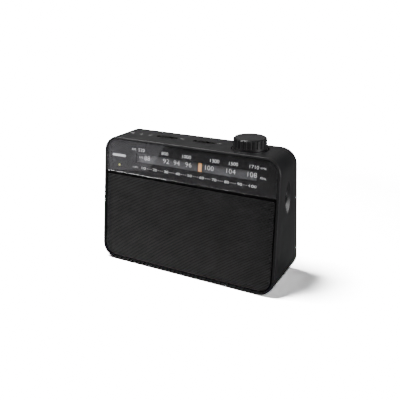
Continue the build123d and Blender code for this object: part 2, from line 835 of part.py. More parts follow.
screw_tail = 1.0            # the screw's end before the bottom of its boss
head_sink = 0.1
drive_slot = 3.0
drive_slot_width = 0.6
drive_slot_depth = 0.8
with BuildPart() as cover_screws:
    for side in (-1, 1):
        for z in rear_boss_z:
            with BuildSketch(back_plane(side * boss_x(z), z, panel_inset + screw_head)):
                Circle(screw_radius)
            extrude(amount=-(cover_thickness - screw_head + rear_boss_length - screw_tail))
            with BuildSketch(back_plane(side * boss_x(z), z, panel_inset + screw_head)):
                Circle(screw_head_radius)
            extrude(amount=screw_head - head_sink)
            with BuildSketch(back_plane(side * boss_x(z), z, panel_inset + head_sink)):
                Rectangle(drive_slot, drive_slot_width)
                Rectangle(drive_slot_width, drive_slot)
            extrude(amount=-drive_slot_depth, mode=Mode.SUBTRACT)
cover_screws.part.label = "cover_screws"
export_step(cover_screws.part, "parts/cover_screws.step")

grip_drop = 4.0
grip_pitch = 1.8
grip_length = 24.0
grip_width = 0.9
grip_depth = 0.4
with BuildPart() as battery_door:
    with BuildSketch(Plane.YZ):
        back_layer(panel_inset, panel_inset + cover_thickness, door_axis_z, door_top)
    extrude(amount=door_half, both=True)
    rod_x(cover_thickness / 2, -door_half, door_half, door_axis_y, door_axis_z)
    rod_x(door_pin_radius, -door_half - door_pin_reach, door_half + door_pin_reach,
          door_axis_y, door_axis_z)
    with BuildSketch(back_plane(0, door_top - grip_drop, panel_inset)):
        with GridLocations(1, grip_pitch, 1, 3):
            SlotOverall(grip_length, grip_width)
    extrude(amount=-grip_depth, mode=Mode.SUBTRACT)
battery_door.part.label = "battery_door"
export_step(battery_door.part, "parts/battery_door.step")

# ================================================================ batteries
tray_front = cell_y - cell_radius - cell_room
tray_back = cell_y + cell_radius - 1.5
tray_low = z_bottom + wall
tray_high = cell_z + cell_radius + cell_room
with BuildPart() as battery_tray:
    block(-tray_half - tray_wall, tray_half + tray_wall, tray_front - tray_wall, tray_back,
          tray_low, tray_high + tray_wall)
    block(-tray_half, tray_half, tray_front, tray_back + over, tray_low + tray_floor, tray_high,
          mode=Mode.SUBTRACT)
battery_tray.part.label = "battery_tray"
export_step(battery_tray.part, "parts/battery_tray.step")

cell_cap_radius = 4.7
cell_cap = 2.0
cell_gap = 0.2
cell_edge = 0.8
cell_start = -tray_half + 5.6
cell_end = cell_start + 2 * cell_length + cell_gap
with BuildPart() as batteries:
    for start in (cell_start, cell_start + cell_length + cell_gap):
        rod_x(cell_radius, start, start + cell_length - cell_cap, cell_y, cell_z)
    fillet(batteries.edges().filter_by(GeomType.CIRCLE), cell_edge)
    for start in (cell_start, cell_start + cell_length + cell_gap):
        end = start + cell_length
        rod_x(cell_cap_radius, end - cell_cap - cell_edge, end, cell_y, cell_z)
batteries.part.label = "batteries"
export_step(batteries.part, "parts/batteries.step")

contact_sheet = 0.5
spring_plate_half = 8.0
cap_plate_half = 6.0
plate_rise = 12.0
button_half_wide = 2.0
button_half_tall = 4.0
with BuildPart() as battery_contacts:
    block(-tray_half, -tray_half + contact_sheet, cell_y - spring_plate_half,
          cell_y + spring_plate_half, cell_z - spring_plate_half, cell_z + plate_rise)
    block(tray_half - contact_sheet, tray_half, cell_y - cap_plate_half, cell_y + cap_plate_half,
          cell_z - cap_plate_half, cell_z + plate_rise)
    block(cell_end, tray_half - contact_sheet, cell_y - button_half_wide,
          cell_y + button_half_wide, cell_z - button_half_tall, cell_z + button_half_tall)
battery_contacts.part.label = "battery_contacts"
export_step(battery_contacts.part, "parts/battery_contacts.step")

# The conical contact spring, drawn as rings that step in towards the cell.
spring_wire = 0.5
spring_turns = 4
spring_outer = 7.0
spring_inner = 4.0
spring_room = cell_start - (-tray_half + contact_sheet)
with BuildPart() as battery_spring:
    with BuildLine() as spring_line:
        Helix(
            pitch=(spring_room - 2.4 * spring_wire) / spring_turns,
            height=spring_room - 2.4 * spring_wire,
            radius=spring_outer,
            center=(-tray_half + contact_sheet + 1.2 * spring_wire, cell_y, cell_z),
            direction=(1, 0, 0),
            cone_angle=-degrees(atan2(spring_outer - spring_inner, spring_room)),
        )
    with BuildSketch(Plane(origin=spring_line.line @ 0, z_dir=spring_line.line % 0)):
        Circle(spring_wire)
    sweep()
battery_spring.part.label = "battery_spring"
export_step(battery_spring.part, "parts/battery_spring.step")

# ================================================================ chassis
carriage_half = 4.5
post_gap = 1.0
post_width = 2.8
post_left_x = pointer_low_x - carriage_half - post_gap - post_width
post_right_x = pointer_high_x + carriage_half + post_gap
post_front_y = cord_front_y + 1.0
post_back_y = cord_front_y + 4.0
post_nose = 1.8
rail_cap = 2.5              # of the posts over and under the rail
rail_top = rail_z + rail_cap
tab_places = (0.0, 63.0)
tab_half = 3.5
tab_low = chassis_low - 16.6
tab_screw_z = tab_low + 4.0
board_y = 6.0
board_thickness = 1.6
gang_shaft_radius = 1.5
tab_back_y = chassis_back_y - 1.0
chassis_play = 0.6
chassis_half = side_x(chassis_top) - wall - chassis_play
with BuildPart() as chassis:
    block(-chassis_half, chassis_half, chassis_front_y, chassis_back_y, chassis_low, chassis_top)
    for x in (post_left_x, post_right_x):
        block(x, x + post_width, post_front_y, post_back_y, chassis_top, rail_top)
        block(x, x + post_width, cord_front_y - post_nose, post_back_y, rail_z - rail_cap, rail_top)
    for x in tab_places:
        block(x - tab_half, x + tab_half, board_y + board_thickness, tab_back_y, tab_low, chassis_low)
    rod_x(rail_radius, post_left_x, post_right_x + post_width, cord_front_y, rail_z,
          mode=Mode.SUBTRACT)
    rod_z(shaft_radius + running_clear, knob_x, knob_y, 0, far, mode=Mode.SUBTRACT)
    rod_z(gang_shaft_radius + hole_clear, gang_x, gang_y, 0, far, mode=Mode.SUBTRACT)
    for x, y in chassis_screw_places:
        rod_z(screw_radius + screw_clear, x, y, 0, far, mode=Mode.SUBTRACT)
    for x in tab_places:
        rod_y(screw_radius + thread_clear, x, 0, far, tab_screw_z, mode=Mode.SUBTRACT)
chassis.part.label = "chassis"
export_step(chassis.part, "parts/chassis.step")

with BuildPart() as pointer_rail:
    rod_x(rail_radius, post_left_x, post_right_x + post_width, cord_front_y, rail_z)
pointer_rail.part.label = "pointer_rail"
export_step(pointer_rail.part, "parts/pointer_rail.step")

# ================================================================ tuning drive
thin_shaft_radius = 1.4
knob_bore_depth = 7.0
shaft_step_z = gear_top + 0.3
shaft_tail = 1.0
with BuildPart() as tuning_shaft:
    rod_z(shaft_radius, knob_x, knob_y, shaft_step_z, knob_low + knob_bore_depth)
    rod_z(thin_shaft_radius, knob_x, knob_y, gear_low - shaft_tail, shaft_step_z)
    chamfer(tuning_shaft.faces().sort_by(Axis.Z)[0].edges(), 0.3)
tuning_shaft.part.label = "tuning_shaft"
export_step(tuning_shaft.part, "parts/tuning_shaft.step")

knob_edge = 1.2
knob_skirt = 1.8
flute_share = 0.45          # of the flute's radius that its centre lies outside the knob
with BuildPart() as tuning_knob:
    rod_z(knob_radius, knob_x, knob_y, knob_low, knob_top)
    chamfer(tuning_knob.faces().sort_by(Axis.Z)[-1].edges(), knob_edge)
    with BuildSketch(Plane.XY.offset(knob_low + knob_skirt)):
        with Locations((knob_x, knob_y)):
            with PolarLocations(knob_radius + flute_radius * flute_share, knob_flutes):
                Circle(flute_radius)
    extrude(amount=knob_rise, mode=Mode.SUBTRACT)
    rod_z(shaft_radius, knob_x, knob_y, knob_low, knob_low + knob_bore_depth, mode=Mode.SUBTRACT)
tuning_knob.part.label = "tuning_knob"
export_step(tuning_knob.part, "parts/tuning_knob.step")

collar_edge = 0.5
collar_bore_clear = 0.3
with BuildPart() as knob_collar:
    rod_z(collar_radius, knob_x, knob_y, z_top - recess_depth, collar_top)
    fillet(knob_collar.faces().sort_by(Axis.Z)[-1].edges(), collar_edge)
    rod_z(shaft_radius + collar_bore_clear, knob_x, knob_y, z_top - recess_depth, collar_top,
          mode=Mode.SUBTRACT)
knob_collar.part.label = "knob_collar"
export_step(knob_collar.part, "parts/knob_collar.step")

groove_half = 0.8
pulley_half = 1.8
cord_clear = 0.02
drum_groove_radius = drum_radius - cord_radius - cord_clear
drum_low = chassis_top + 0.4
hub_radius = shaft_radius + 2.5
hub_rise = 3.0
with BuildPart() as cord_drum:
    rod_z(drum_radius + flange, knob_x, knob_y, drum_low, cord_z - groove_half)
    rod_z(drum_groove_radius, knob_x, knob_y, cord_z - groove_half, cord_z + groove_half)
    rod_z(drum_radius + flange, knob_x, knob_y, cord_z + groove_half, cord_z + pulley_half)
    rod_z(hub_radius, knob_x, knob_y, cord_z + pulley_half, cord_z + pulley_half + hub_rise)
    rod_z(shaft_radius, knob_x, knob_y, 0, far, mode=Mode.SUBTRACT)
cord_drum.part.label = "cord_drum"
export_step(cord_drum.part, "parts/cord_drum.step")


pressure_angle = radians(20)


def involute(angle):
    """Involute of a pressure angle, in radians."""
    return tan(angle) - angle


def gear_outline(teeth, addendum, turn):
    """Points of a spur gear's outline, with one tooth standing at the turn angle."""
    pitch_radius = gear_module * teeth / 2
    base_radius = pitch_radius * cos(pressure_angle)
    root_radius = pitch_radius - 1.3 * gear_module
    tip_radius = pitch_radius + addendum * gear_module
    half_tooth = pi / (2 * teeth) - gear_backlash / 4 / pitch_radius
    start = max(base_radius, root_radius)
    flank = []
    for step in range(5):
        radius = start + (tip_radius - start) * step / 4
        local_pressure = atan2(sqrt(radius**2 - base_radius**2), base_radius)
        flank.append((radius, half_tooth + involute(pressure_angle) - involute(local_pressure)))
    if root_radius < base_radius:
        flank.insert(0, (root_radius, flank[0][1] * 0.8))
    tooth = [(radius, -half) for radius, half in flank]
    tooth += [(radius, half) for radius, half in reversed(flank)]
    points = []
    for index in range(teeth):
        middle = radians(turn) + 2 * pi * index / teeth
        points += [(r * cos(middle + a), r * sin(middle + a)) for r, a in tooth]
    return points


pinion_over = 0.2           # the pinion is this much wider than the gear on each side
light_hole_radius = 3.2
with BuildPart() as drive_pinion:
    with BuildSketch(Plane.XY.offset(gear_low - pinion_over)):
        with Locations((knob_x, knob_y)):
            Polygon(*gear_outline(pinion_teeth, pinion_addendum, gang_bearing), align=None)
            Circle(thin_shaft_radius, mode=Mode.SUBTRACT)
    extrude(amount=gear_width + 2 * pinion_over)
drive_pinion.part.label = "drive_pinion"
export_step(drive_pinion.part, "parts/drive_pinion.step")

gang_turn = gang_bearing + 180 + 180 / gang_teeth
with BuildPart() as gang_gear:
    with BuildSketch(Plane.XY.offset(gear_low)):
        with Locations((gang_x, gang_y)):
            Polygon(*gear_outline(gang_teeth, gang_addendum, gang_turn), align=None)
            Circle(gang_shaft_radius, mode=Mode.SUBTRACT)
            with PolarLocations(gear_module * gang_teeth / 4, 4):
                Circle(light_hole_radius, mode=Mode.SUBTRACT)
    extrude(amount=gear_width)
gang_gear.part.label = "gang_gear"
export_step(gang_gear.part, "parts/gang_gear.step")

gang_bore_depth = 6.0
bore_end_gap = 0.2          # left between a shaft's end and the bottom of its bore
gang_shaft_tail = 0.6
gang_corner = 1.0
trimmer_radius = 2.2
trimmer_rise = 0.5
trimmer_slot = 3.0
trimmer_slot_width = 0.6
with BuildPart() as gang_shaft:
    rod_z(gang_shaft_radius, gang_x, gang_y, gear_low - gang_shaft_tail,
          chassis_top + gang_bore_depth - bore_end_gap)
gang_shaft.part.label = "gang_shaft"
export_step(gang_shaft.part, "parts/gang_shaft.step")

with BuildPart() as tuning_gang:
    with BuildSketch(Plane.XY.offset(chassis_top)):
        with Locations((gang_x, gang_y)):
            RectangleRounded(gang_size, gang_size, gang_corner)
    extrude(amount=gang_tall)
    with BuildSketch(Plane.XY.offset(chassis_top + gang_tall)):
        with Locations((gang_x, gang_y)):
            with GridLocations(gang_size / 2, gang_size / 2, 2, 2):
                Circle(trimmer_radius)
                Rectangle(trimmer_slot, trimmer_slot_width, mode=Mode.SUBTRACT)
    extrude(amount=trimmer_rise)
    rod_z(gang_shaft_radius + running_clear, gang_x, gang_y, chassis_top,
          chassis_top + gang_bore_depth, mode=Mode.SUBTRACT)
tuning_gang.part.label = "tuning_gang"
export_step(tuning_gang.part, "parts/tuning_gang.step")

pulley_floor = idler_radius - cord_radius - cord_clear
pin_radius = 1.0
pulley_edge = 1.0
with BuildPart() as idler_left_pulley:
    rod_z(idler_radius + pulley_edge, idler_left_x, idler_y, cord_z - pulley_half, cord_z - groove_half)
    rod_z(pulley_floor, idler_left_x, idler_y, cord_z - groove_half, cord_z + groove_half)
    rod_z(idler_radius + pulley_edge, idler_left_x, idler_y, cord_z + groove_half, cord_z + pulley_half)
    rod_z(pin_radius + running_clear, idler_left_x, idler_y, 0, far, mode=Mode.SUBTRACT)
idler_left_pulley.part.label = "idler_left_pulley"
export_step(idler_left_pulley.part, "parts/idler_left_pulley.step")

with BuildPart() as idler_right_pulley:
    rod_z(idler_radius + pulley_edge, idler_right_x, idler_y, cord_z - pulley_half, cord_z - groove_half)
    rod_z(pulley_floor, idler_right_x, idler_y, cord_z - groove_half, cord_z + groove_half)
    rod_z(idler_radius + pulley_edge, idler_right_x, idler_y, cord_z + groove_half, cord_z + pulley_half)
    rod_z(pin_radius + running_clear, idler_right_x, idler_y, 0, far, mode=Mode.SUBTRACT)
idler_right_pulley.part.label = "idler_right_pulley"
export_step(idler_right_pulley.part, "parts/idler_right_pulley.step")

pin_play = 0.1
pin_shoulder_radius = 2.2
pin_head_radius = 1.8
pin_head = 0.9
with BuildPart() as idler_pins:
    for x in (idler_left_x, idler_right_x):
        head_low = cord_z + pulley_half + pin_play
        rod_z(pin_shoulder_radius, x, idler_y, chassis_top, cord_z - pulley_half - pin_play)
        rod_z(pin_radius, x, idler_y, chassis_top, head_low)
        rod_z(pin_head_radius, x, idler_y, head_low, head_low + pin_head)
idler_pins.part.label = "idler_pins"
export_step(idler_pins.part, "parts/idler_pins.step")


def tangent_heading(start, start_turn, end, end_turn):
    """Heading of the straight run from one pulley to the next; a left turn is positive."""
    across = end[0] - start[0]
    along = end[1] - start[1]
    distance = sqrt(across**2 + along**2)
    offset_angle = (end_turn - start_turn) / distance
    return atan2(along, across) - atan2(offset_angle, sqrt(1 - offset_angle**2))


def leaving(centre, turn, heading):
    """Point of a pulley's rim where the cord has this heading."""
    return (centre[0] + turn * sin(heading), centre[1] - turn * cos(heading))


left_idler = (idler_left_x, idler_y)
right_idler = (idler_right_x, idler_y)
drum_centre = (knob_x, knob_y)
cord_stops = (
    (left_idler, idler_radius),
    (right_idler, idler_radius),
    (drum_centre, -drum_radius),
)
with BuildPart() as dial_cord:
    with BuildLine(Plane.XY.offset(cord_z)) as cord_route:
        headings = []
        for index, (centre, turn) in enumerate(cord_stops):
            following = cord_stops[(index + 1) % 3]
            headings.append(tangent_heading(centre, turn, following[0], following[1]) % (2 * pi))
        for index, (centre, turn) in enumerate(cord_stops):
            arriving = headings[index - 1]
            going = headings[index]
            if turn > 0 and going < arriving:
                going += 2 * pi
            middle = (arriving + going) / 2
            ThreePointArc(
                leaving(centre, turn, arriving),
                leaving(centre, turn, middle),
                leaving(centre, turn, going),
            )
            following = cord_stops[(index + 1) % 3]
            Line(leaving(centre, turn, going), leaving(following[0], following[1], going))
    with BuildSketch(Plane(origin=cord_route.line @ 0, z_dir=cord_route.line % 0)):
        Circle(cord_radius)
    sweep()
dial_cord.part.label = "dial_cord"
export_step(dial_cord.part, "parts/dial_cord.step")
print("dial cord length", round(sum(edge.length for edge in cord_route.edges()), 1))

carriage_low = cord_z - pulley_half
carriage_top = rail_top + 0.2
carriage_depth = 2.3
with BuildPart() as pointer_carriage:
    block(pointer_rest_x - carriage_half, pointer_rest_x + carriage_half,
          cord_front_y - carriage_depth, cord_front_y + carriage_depth, carriage_low, carriage_top)
    rod_x(rail_radius + running_clear, -far, far, cord_front_y, rail_z, mode=Mode.SUBTRACT)
    rod_x(cord_radius + running_clear, -far, far, cord_front_y, cord_z, mode=Mode.SUBTRACT)
pointer_carriage.part.label = "pointer_carriage"
export_step(pointer_carriage.part, "parts/pointer_carriage.step")

blade_front = scale_back + 0.5
blade_back = blade_front + 0.8
blade_low = strip_low - 1.5
blade_top = carriage_top + 1.4
with BuildPart() as dial_pointer:
    with BuildSketch(Plane.YZ):
        front_layer(blade_front, blade_back, blade_low, blade_top)
        Polygon(
            (front_y(carriage_top, blade_front), carriage_top),
            (cord_front_y + carriage_depth, carriage_top),
            (cord_front_y + carriage_depth, blade_top),
            (front_y(blade_top, blade_front), blade_top),
            align=None,
        )
    extrude(amount=pointer_rest_x + pointer_width / 2)
    block(pointer_rest_x - pointer_width / 2, far, -far, far, 0, far, mode=Mode.INTERSECT)
dial_pointer.part.label = "dial_pointer"
export_step(dial_pointer.part, "parts/dial_pointer.step")

# ================================================================ top switches
switch_half = 13.0
switch_body_half = 4.0
switch_tall = 7.0
stem_length = 4.0
stem_width = 1.2
stem_deep = 4.0
stem_clear = 0.1
cap_lift = 0.1              # slider over the floor of its slot
grip_rib_pitch = 1.8
grip_rib_half = 0.4
grip_rib_rise = 0.4
bury = 0.1                  # how deep a rib or stem is set into the cap
slot_floor_z = z_top - slot_depth
slider_rest = -slider_travel / 2


def switch_body(x):
    """Body of a slide switch under the top wall, with its track for the stem."""
    block(x - switch_half, x + switch_half, switch_y - switch_body_half, switch_y + switch_body_half,
          z_top - wall - switch_tall, z_top - wall)
    block(x - slider_travel / 2 - stem_length / 2 - slider_clear,
          x + slider_travel / 2 + stem_length / 2 + slider_clear,
          switch_y - stem_width / 2 - stem_clear, switch_y + stem_width / 2 + stem_clear,
          z_top - wall - stem_deep - slider_clear, z_top, mode=Mode.SUBTRACT)


def slider_cap(x):
    """Thumb piece of a slide switch with its stem and five grip ribs."""
    cap_low = slot_floor_z + cap_lift
    cap_top = z_top + slider_rise - grip_rib_rise
    block(x - slider_length / 2, x + slider_length / 2, switch_y - slider_width / 2,
          switch_y + slider_width / 2, cap_low, cap_top)
    for step in range(-2, 3):
        rib_x = x + step * grip_rib_pitch
        block(rib_x - grip_rib_half, rib_x + grip_rib_half, switch_y - slider_width / 2,
              switch_y + slider_width / 2, cap_top - bury, z_top + slider_rise)
    block(x - stem_length / 2, x + stem_length / 2, switch_y - stem_width / 2,
          switch_y + stem_width / 2, z_top - wall - stem_deep, cap_low + bury)


with BuildPart() as switch_bodies:
    switch_body(band_x)
    switch_body(power_x)
switch_bodies.part.label = "switch_bodies"
export_step(switch_bodies.part, "parts/switch_bodies.step")

with BuildPart() as band_slider:
    slider_cap(band_x + slider_rest)
band_slider.part.label = "band_slider"
export_step(band_slider.part, "parts/band_slider.step")

with BuildPart() as power_slider:
    slider_cap(power_x + slider_rest)
power_slider.part.label = "power_slider"
export_step(power_slider.part, "parts/power_slider.step")

# ================================================================ circuit board
board_left = -8.0
board_right = volume_x + 6.5
board_low = tray_high + tray_wall + 2.6
board_high = chassis_low - 8.6
with BuildPart() as circuit_board:
    block(board_left, board_right, board_y, board_y + board_thickness, board_low, board_high)
    for x in tab_places:
        rod_y(screw_radius + screw_clear, x, 0, far, tab_screw_z, mode=Mode.SUBTRACT)
circuit_board.part.label = "circuit_board"
export_step(circuit_board.part, "parts/circuit_board.step")

# Self-tapping screws: loudspeaker to baffle, baffle to cabinet, chassis to
# cabinet and circuit board to chassis.
front_tail = 0.3            # the front screws' ends under the baffle's face
chassis_head = 1.0
chassis_head_radius = 1.8
with BuildPart() as inner_screws:
    with BuildSketch(front_plane(speaker_x, speaker_z, baffle_front + front_tail)):
        with PolarLocations(speaker_screw_circle, 4, 45):
            Circle(screw_radius)
    extrude(amount=-(baffle_thickness + frame_sheet - front_tail))
    with BuildSketch(front_plane(speaker_x, speaker_z, speaker_front + frame_sheet)):
        with PolarLocations(speaker_screw_circle, 4, 45):
            Circle(speaker_screw_head)
    extrude(amount=-screw_head)
    for side in (-1, 1):
        for z in front_boss_z:
            with BuildSketch(front_plane(side * boss_x(z), z, baffle_front + front_tail)):
                Circle(screw_radius)
            extrude(amount=-(baffle_thickness - front_tail + front_boss_length))
            with BuildSketch(front_plane(side * boss_x(z), z, baffle_back + front_boss_length)):
                Circle(screw_head_radius)
            extrude(amount=-screw_head)
    for x, y in chassis_screw_places:
        rod_z(screw_radius, x, y, chassis_low - chassis_screw_reach, chassis_top)
        rod_z(chassis_head_radius, x, y, chassis_top, chassis_top + chassis_head)
    for x in tab_places:
        rod_y(screw_radius, x, board_y, tab_back_y, tab_screw_z)
        rod_y(screw_head_radius, x, board_y - screw_head, board_y, tab_screw_z)
inner_screws.part.label = "inner_screws"
export_step(inner_screws.part, "parts/inner_screws.step")

can_size = 7.0
can_tall = 8.0
can_low = board_high - 16.0
can_places = (10.0, 20.0, 30.0, 40.0)
core_radius = 1.6
core_sink = 1.0
with BuildPart() as tuned_coils:
    for x in can_places:
        block(x, x + can_size, board_y - can_tall, board_y, can_low, can_low + can_size)
        rod_y(core_radius, x + can_size / 2, board_y - can_tall - over,
              board_y - can_tall + core_sink, can_low + can_size / 2, mode=Mode.SUBTRACT)
tuned_coils.part.label = "tuned_coils"
export_step(tuned_coils.part, "parts/tuned_coils.step")

parts_row = board_low + 12.7
capacitor_sizes = ((15.0, 5.0, 12.0), (29.0, 4.0, 11.0), (40.0, 3.2, 9.0))
with BuildPart() as power_capacitors:
    for x, radius, length in capacitor_sizes:
        rod_y(radius, x, board_y - length, board_y, parts_row)
power_capacitors.part.label = "power_capacitors"
export_step(power_capacitors.part, "parts/power_capacitors.step")

chip_left = 50.0
chip_length = 18.0
chip_width = 6.5
chip_tall = 3.2
with BuildPart() as radio_chip:
    block(chip_left, chip_left + chip_length, board_y - chip_tall, board_y,
          parts_row, parts_row + chip_width)
radio_chip.part.label = "radio_chip"
export_step(radio_chip.part, "parts/radio_chip.step")

pot_radius = 6.5
pot_gap = 0.6
pot_front = volume_y + volume_width / 2 + pot_gap
pot_bore = 2.8
with BuildPart() as volume_pot:
    rod_y(pot_radius, volume_x, pot_front, board_y, volume_z)
    rod_y(gang_shaft_radius + running_clear, volume_x, pot_front, pot_front + pot_bore, volume_z,
          mode=Mode.SUBTRACT)
volume_pot.part.label = "volume_pot"
export_step(volume_pot.part, "parts/volume_pot.step")

wheel_notches = 36
notch_radius = 0.5
notch_centre = volume_radius + 0.15
wheel_edge = 0.5
with BuildPart() as volume_wheel:
    rod_y(volume_radius, volume_x, volume_y - volume_width / 2, volume_y + volume_width / 2, volume_z)
    chamfer(volume_wheel.edges().filter_by(GeomType.CIRCLE), wheel_edge)
    with BuildSketch(Plane.XZ.offset(-volume_y)):
        with Locations((volume_x, volume_z)):
            with PolarLocations(notch_centre, wheel_notches):
                Circle(notch_radius)
    extrude(amount=volume_width, both=True, mode=Mode.SUBTRACT)
    rod_y(gang_shaft_radius, volume_x, volume_y, pot_front + pot_bore - bore_end_gap, volume_z)
volume_wheel.part.label = "volume_wheel"
export_step(volume_wheel.part, "parts/volume_wheel.step")

# ================================================================ aerial coil
ferrite_radius = 4.0
ferrite_left = -86.0
ferrite_right = -12.0
ferrite_y = 2.0
ferrite_z = chassis_low - 8.6
winding = 1.2
winding_left = -62.0
winding_right = -38.0
clip_places = (-80.0, -24.0)
clip_width = 6.0
clip_half = 5.5
with BuildPart() as ferrite_rod:
    rod_x(ferrite_radius, ferrite_left, ferrite_right, ferrite_y, ferrite_z)
ferrite_rod.part.label = "ferrite_rod"
export_step(ferrite_rod.part, "parts/ferrite_rod.step")

with BuildPart() as aerial_coil:
    rod_x(ferrite_radius + winding, winding_left, winding_right, ferrite_y, ferrite_z)
    rod_x(ferrite_radius, -far, far, ferrite_y, ferrite_z, mode=Mode.SUBTRACT)
aerial_coil.part.label = "aerial_coil"
export_step(aerial_coil.part, "parts/aerial_coil.step")

with BuildPart() as rod_clips:
    for x in clip_places:
        block(x, x + clip_width, ferrite_y - clip_half, ferrite_y + clip_half,
              ferrite_z - clip_half, chassis_low)
    rod_x(ferrite_radius, -far, far, ferrite_y, ferrite_z, mode=Mode.SUBTRACT)
rod_clips.part.label = "rod_clips"
export_step(rod_clips.part, "parts/rod_clips.step")

# ================================================================ headphone jack
jack_bore_radius = 1.8
jack_bore_depth = 14.0
jack_proud = 0.3
jack_body_half = 5.0
jack_body_gap = 0.1
jack_back_wall = 1.5
jack_face_x = -side_x(jack_z) - jack_proud
with BuildPart() as headphone_jack:
    rod_x(jack_barrel_radius, jack_face_x, jack_face_x + jack_barrel, jack_y, jack_z)
    block(-side_x(jack_z) + wall + jack_body_gap, jack_face_x + jack_bore_depth + jack_back_wall,
          jack_y - jack_body_half, jack_y + jack_body_half,
          jack_z - jack_body_half, jack_z + jack_body_half)
    rod_x(jack_bore_radius, jack_face_x, jack_face_x + jack_bore_depth, jack_y, jack_z,
          mode=Mode.SUBTRACT)
headphone_jack.part.label = "headphone_jack"
export_step(headphone_jack.part, "parts/headphone_jack.step")

# ================================================================ antenna
swivel_radius = 4.0
spindle_radius = 2.4
tongue_half = 1.3
cheek_gap = 0.1
cheek_half = 3.3
hinge_pin_radius = 1.0
tongue_radius = 2.8
tube_start_x = antenna_pivot_x - 5.8
fork_end_x = antenna_pivot_x + 5.2
bearing_x = antenna_pivot_x + 8.8
bracket_back_y = antenna_y + 3.7
bracket_room = 2.0
spindle_room = 0.5
swivel_gap = 0.2
tube_plug = 3.0             # solid end of the first section, round the tongue
with BuildPart() as antenna_bracket:
    block(bearing_x, channel_right_x - bracket_room, channel_front_y, bracket_back_y,
          channel_low, channel_high)
    rod_x(spindle_radius + running_clear, -far, far, antenna_y, antenna_z, mode=Mode.SUBTRACT)
antenna_bracket.part.label = "antenna_bracket"
export_step(antenna_bracket.part, "parts/antenna_bracket.step")

with BuildPart() as antenna_swivel:
    rod_x(swivel_radius, antenna_pivot_x - 3.0, bearing_x - swivel_gap, antenna_y, antenna_z)
    block(-far, fork_end_x, -far, far, antenna_z - tongue_half - cheek_gap,
          antenna_z + tongue_half + cheek_gap, mode=Mode.SUBTRACT)
    block(-far, fork_end_x, -far, far, antenna_z + cheek_half, far, mode=Mode.SUBTRACT)
    block(-far, fork_end_x, -far, far, 0, antenna_z - cheek_half, mode=Mode.SUBTRACT)
    rod_x(spindle_radius, bearing_x - swivel_gap - over, channel_right_x - bracket_room - spindle_room,
          antenna_y, antenna_z)
    rod_z(hinge_pin_radius, antenna_pivot_x, antenna_y, 0, far, mode=Mode.SUBTRACT)
antenna_swivel.part.label = "antenna_swivel"
export_step(antenna_swivel.part, "parts/antenna_swivel.step")

with BuildPart() as antenna_pin:
    rod_z(hinge_pin_radius, antenna_pivot_x, antenna_y, antenna_z - cheek_half, antenna_z + cheek_half)
antenna_pin.part.label = "antenna_pin"
export_step(antenna_pin.part, "parts/antenna_pin.step")

with BuildPart() as antenna_section_1:
    rod_z(tongue_radius, antenna_pivot_x, antenna_y, antenna_z - tongue_half, antenna_z + tongue_half)
    block(tube_start_x - over, antenna_pivot_x, antenna_y - tongue_radius, antenna_y + tongue_radius,
          antenna_z - tongue_half, antenna_z + tongue_half)
    rod_x(section_radii[0], section_end_x, tube_start_x, antenna_y, antenna_z)
    rod_x(section_radii[0] - section_wall, section_end_x, tube_start_x - tube_plug, antenna_y, antenna_z,
          mode=Mode.SUBTRACT)
    rod_z(hinge_pin_radius + running_clear, antenna_pivot_x, antenna_y, 0, far, mode=Mode.SUBTRACT)
antenna_section_1.part.label = "antenna_section_1"
export_step(antenna_section_1.part, "parts/antenna_section_1.step")


def section_span(index):
    """Both ends of a sliding section, from the inner end to the outer one."""
    inner_end = tube_start_x - tube_plug - swivel_gap - index * section_inset
    return (inner_end, section_end_x - index * section_step)


with BuildPart() as antenna_section_2:
    inner_end, outer_end = section_span(1)
    rod_x(section_radii[1], outer_end, inner_end, antenna_y, antenna_z)
    rod_x(section_radii[1] - section_wall, outer_end, inner_end, antenna_y, antenna_z,
          mode=Mode.SUBTRACT)
antenna_section_2.part.label = "antenna_section_2"
export_step(antenna_section_2.part, "parts/antenna_section_2.step")

with BuildPart() as antenna_section_3:
    inner_end, outer_end = section_span(2)
    rod_x(section_radii[2], outer_end, inner_end, antenna_y, antenna_z)
    rod_x(section_radii[2] - section_wall, outer_end, inner_end, antenna_y, antenna_z,
          mode=Mode.SUBTRACT)
antenna_section_3.part.label = "antenna_section_3"
export_step(antenna_section_3.part, "parts/antenna_section_3.step")

tip_radius = 2.6
tip_length = 4.0
tip_edge = 0.8
with BuildPart() as antenna_tip:
    inner_end, outer_end = section_span(3)
    rod_x(section_radii[3], outer_end, inner_end, antenna_y, antenna_z)
    rod_x(tip_radius, outer_end - tip_length, outer_end, antenna_y, antenna_z)
    fillet(antenna_tip.faces().sort_by(Axis.X)[0].edges(), tip_edge)
antenna_tip.part.label = "antenna_tip"
export_step(antenna_tip.part, "parts/antenna_tip.step")

# ================================================================ feet
with BuildPart() as rubber_feet:
    with BuildSketch():
        with GridLocations(2 * foot_x, 2 * foot_y, 2, 2):
            Circle(foot_radius)
    extrude(amount=foot_proud + foot_recess)
    chamfer(rubber_feet.faces().group_by(Axis.Z)[0].edges(), foot_edge)
rubber_feet.part.label = "rubber_feet"
export_step(rubber_feet.part, "parts/rubber_feet.step")
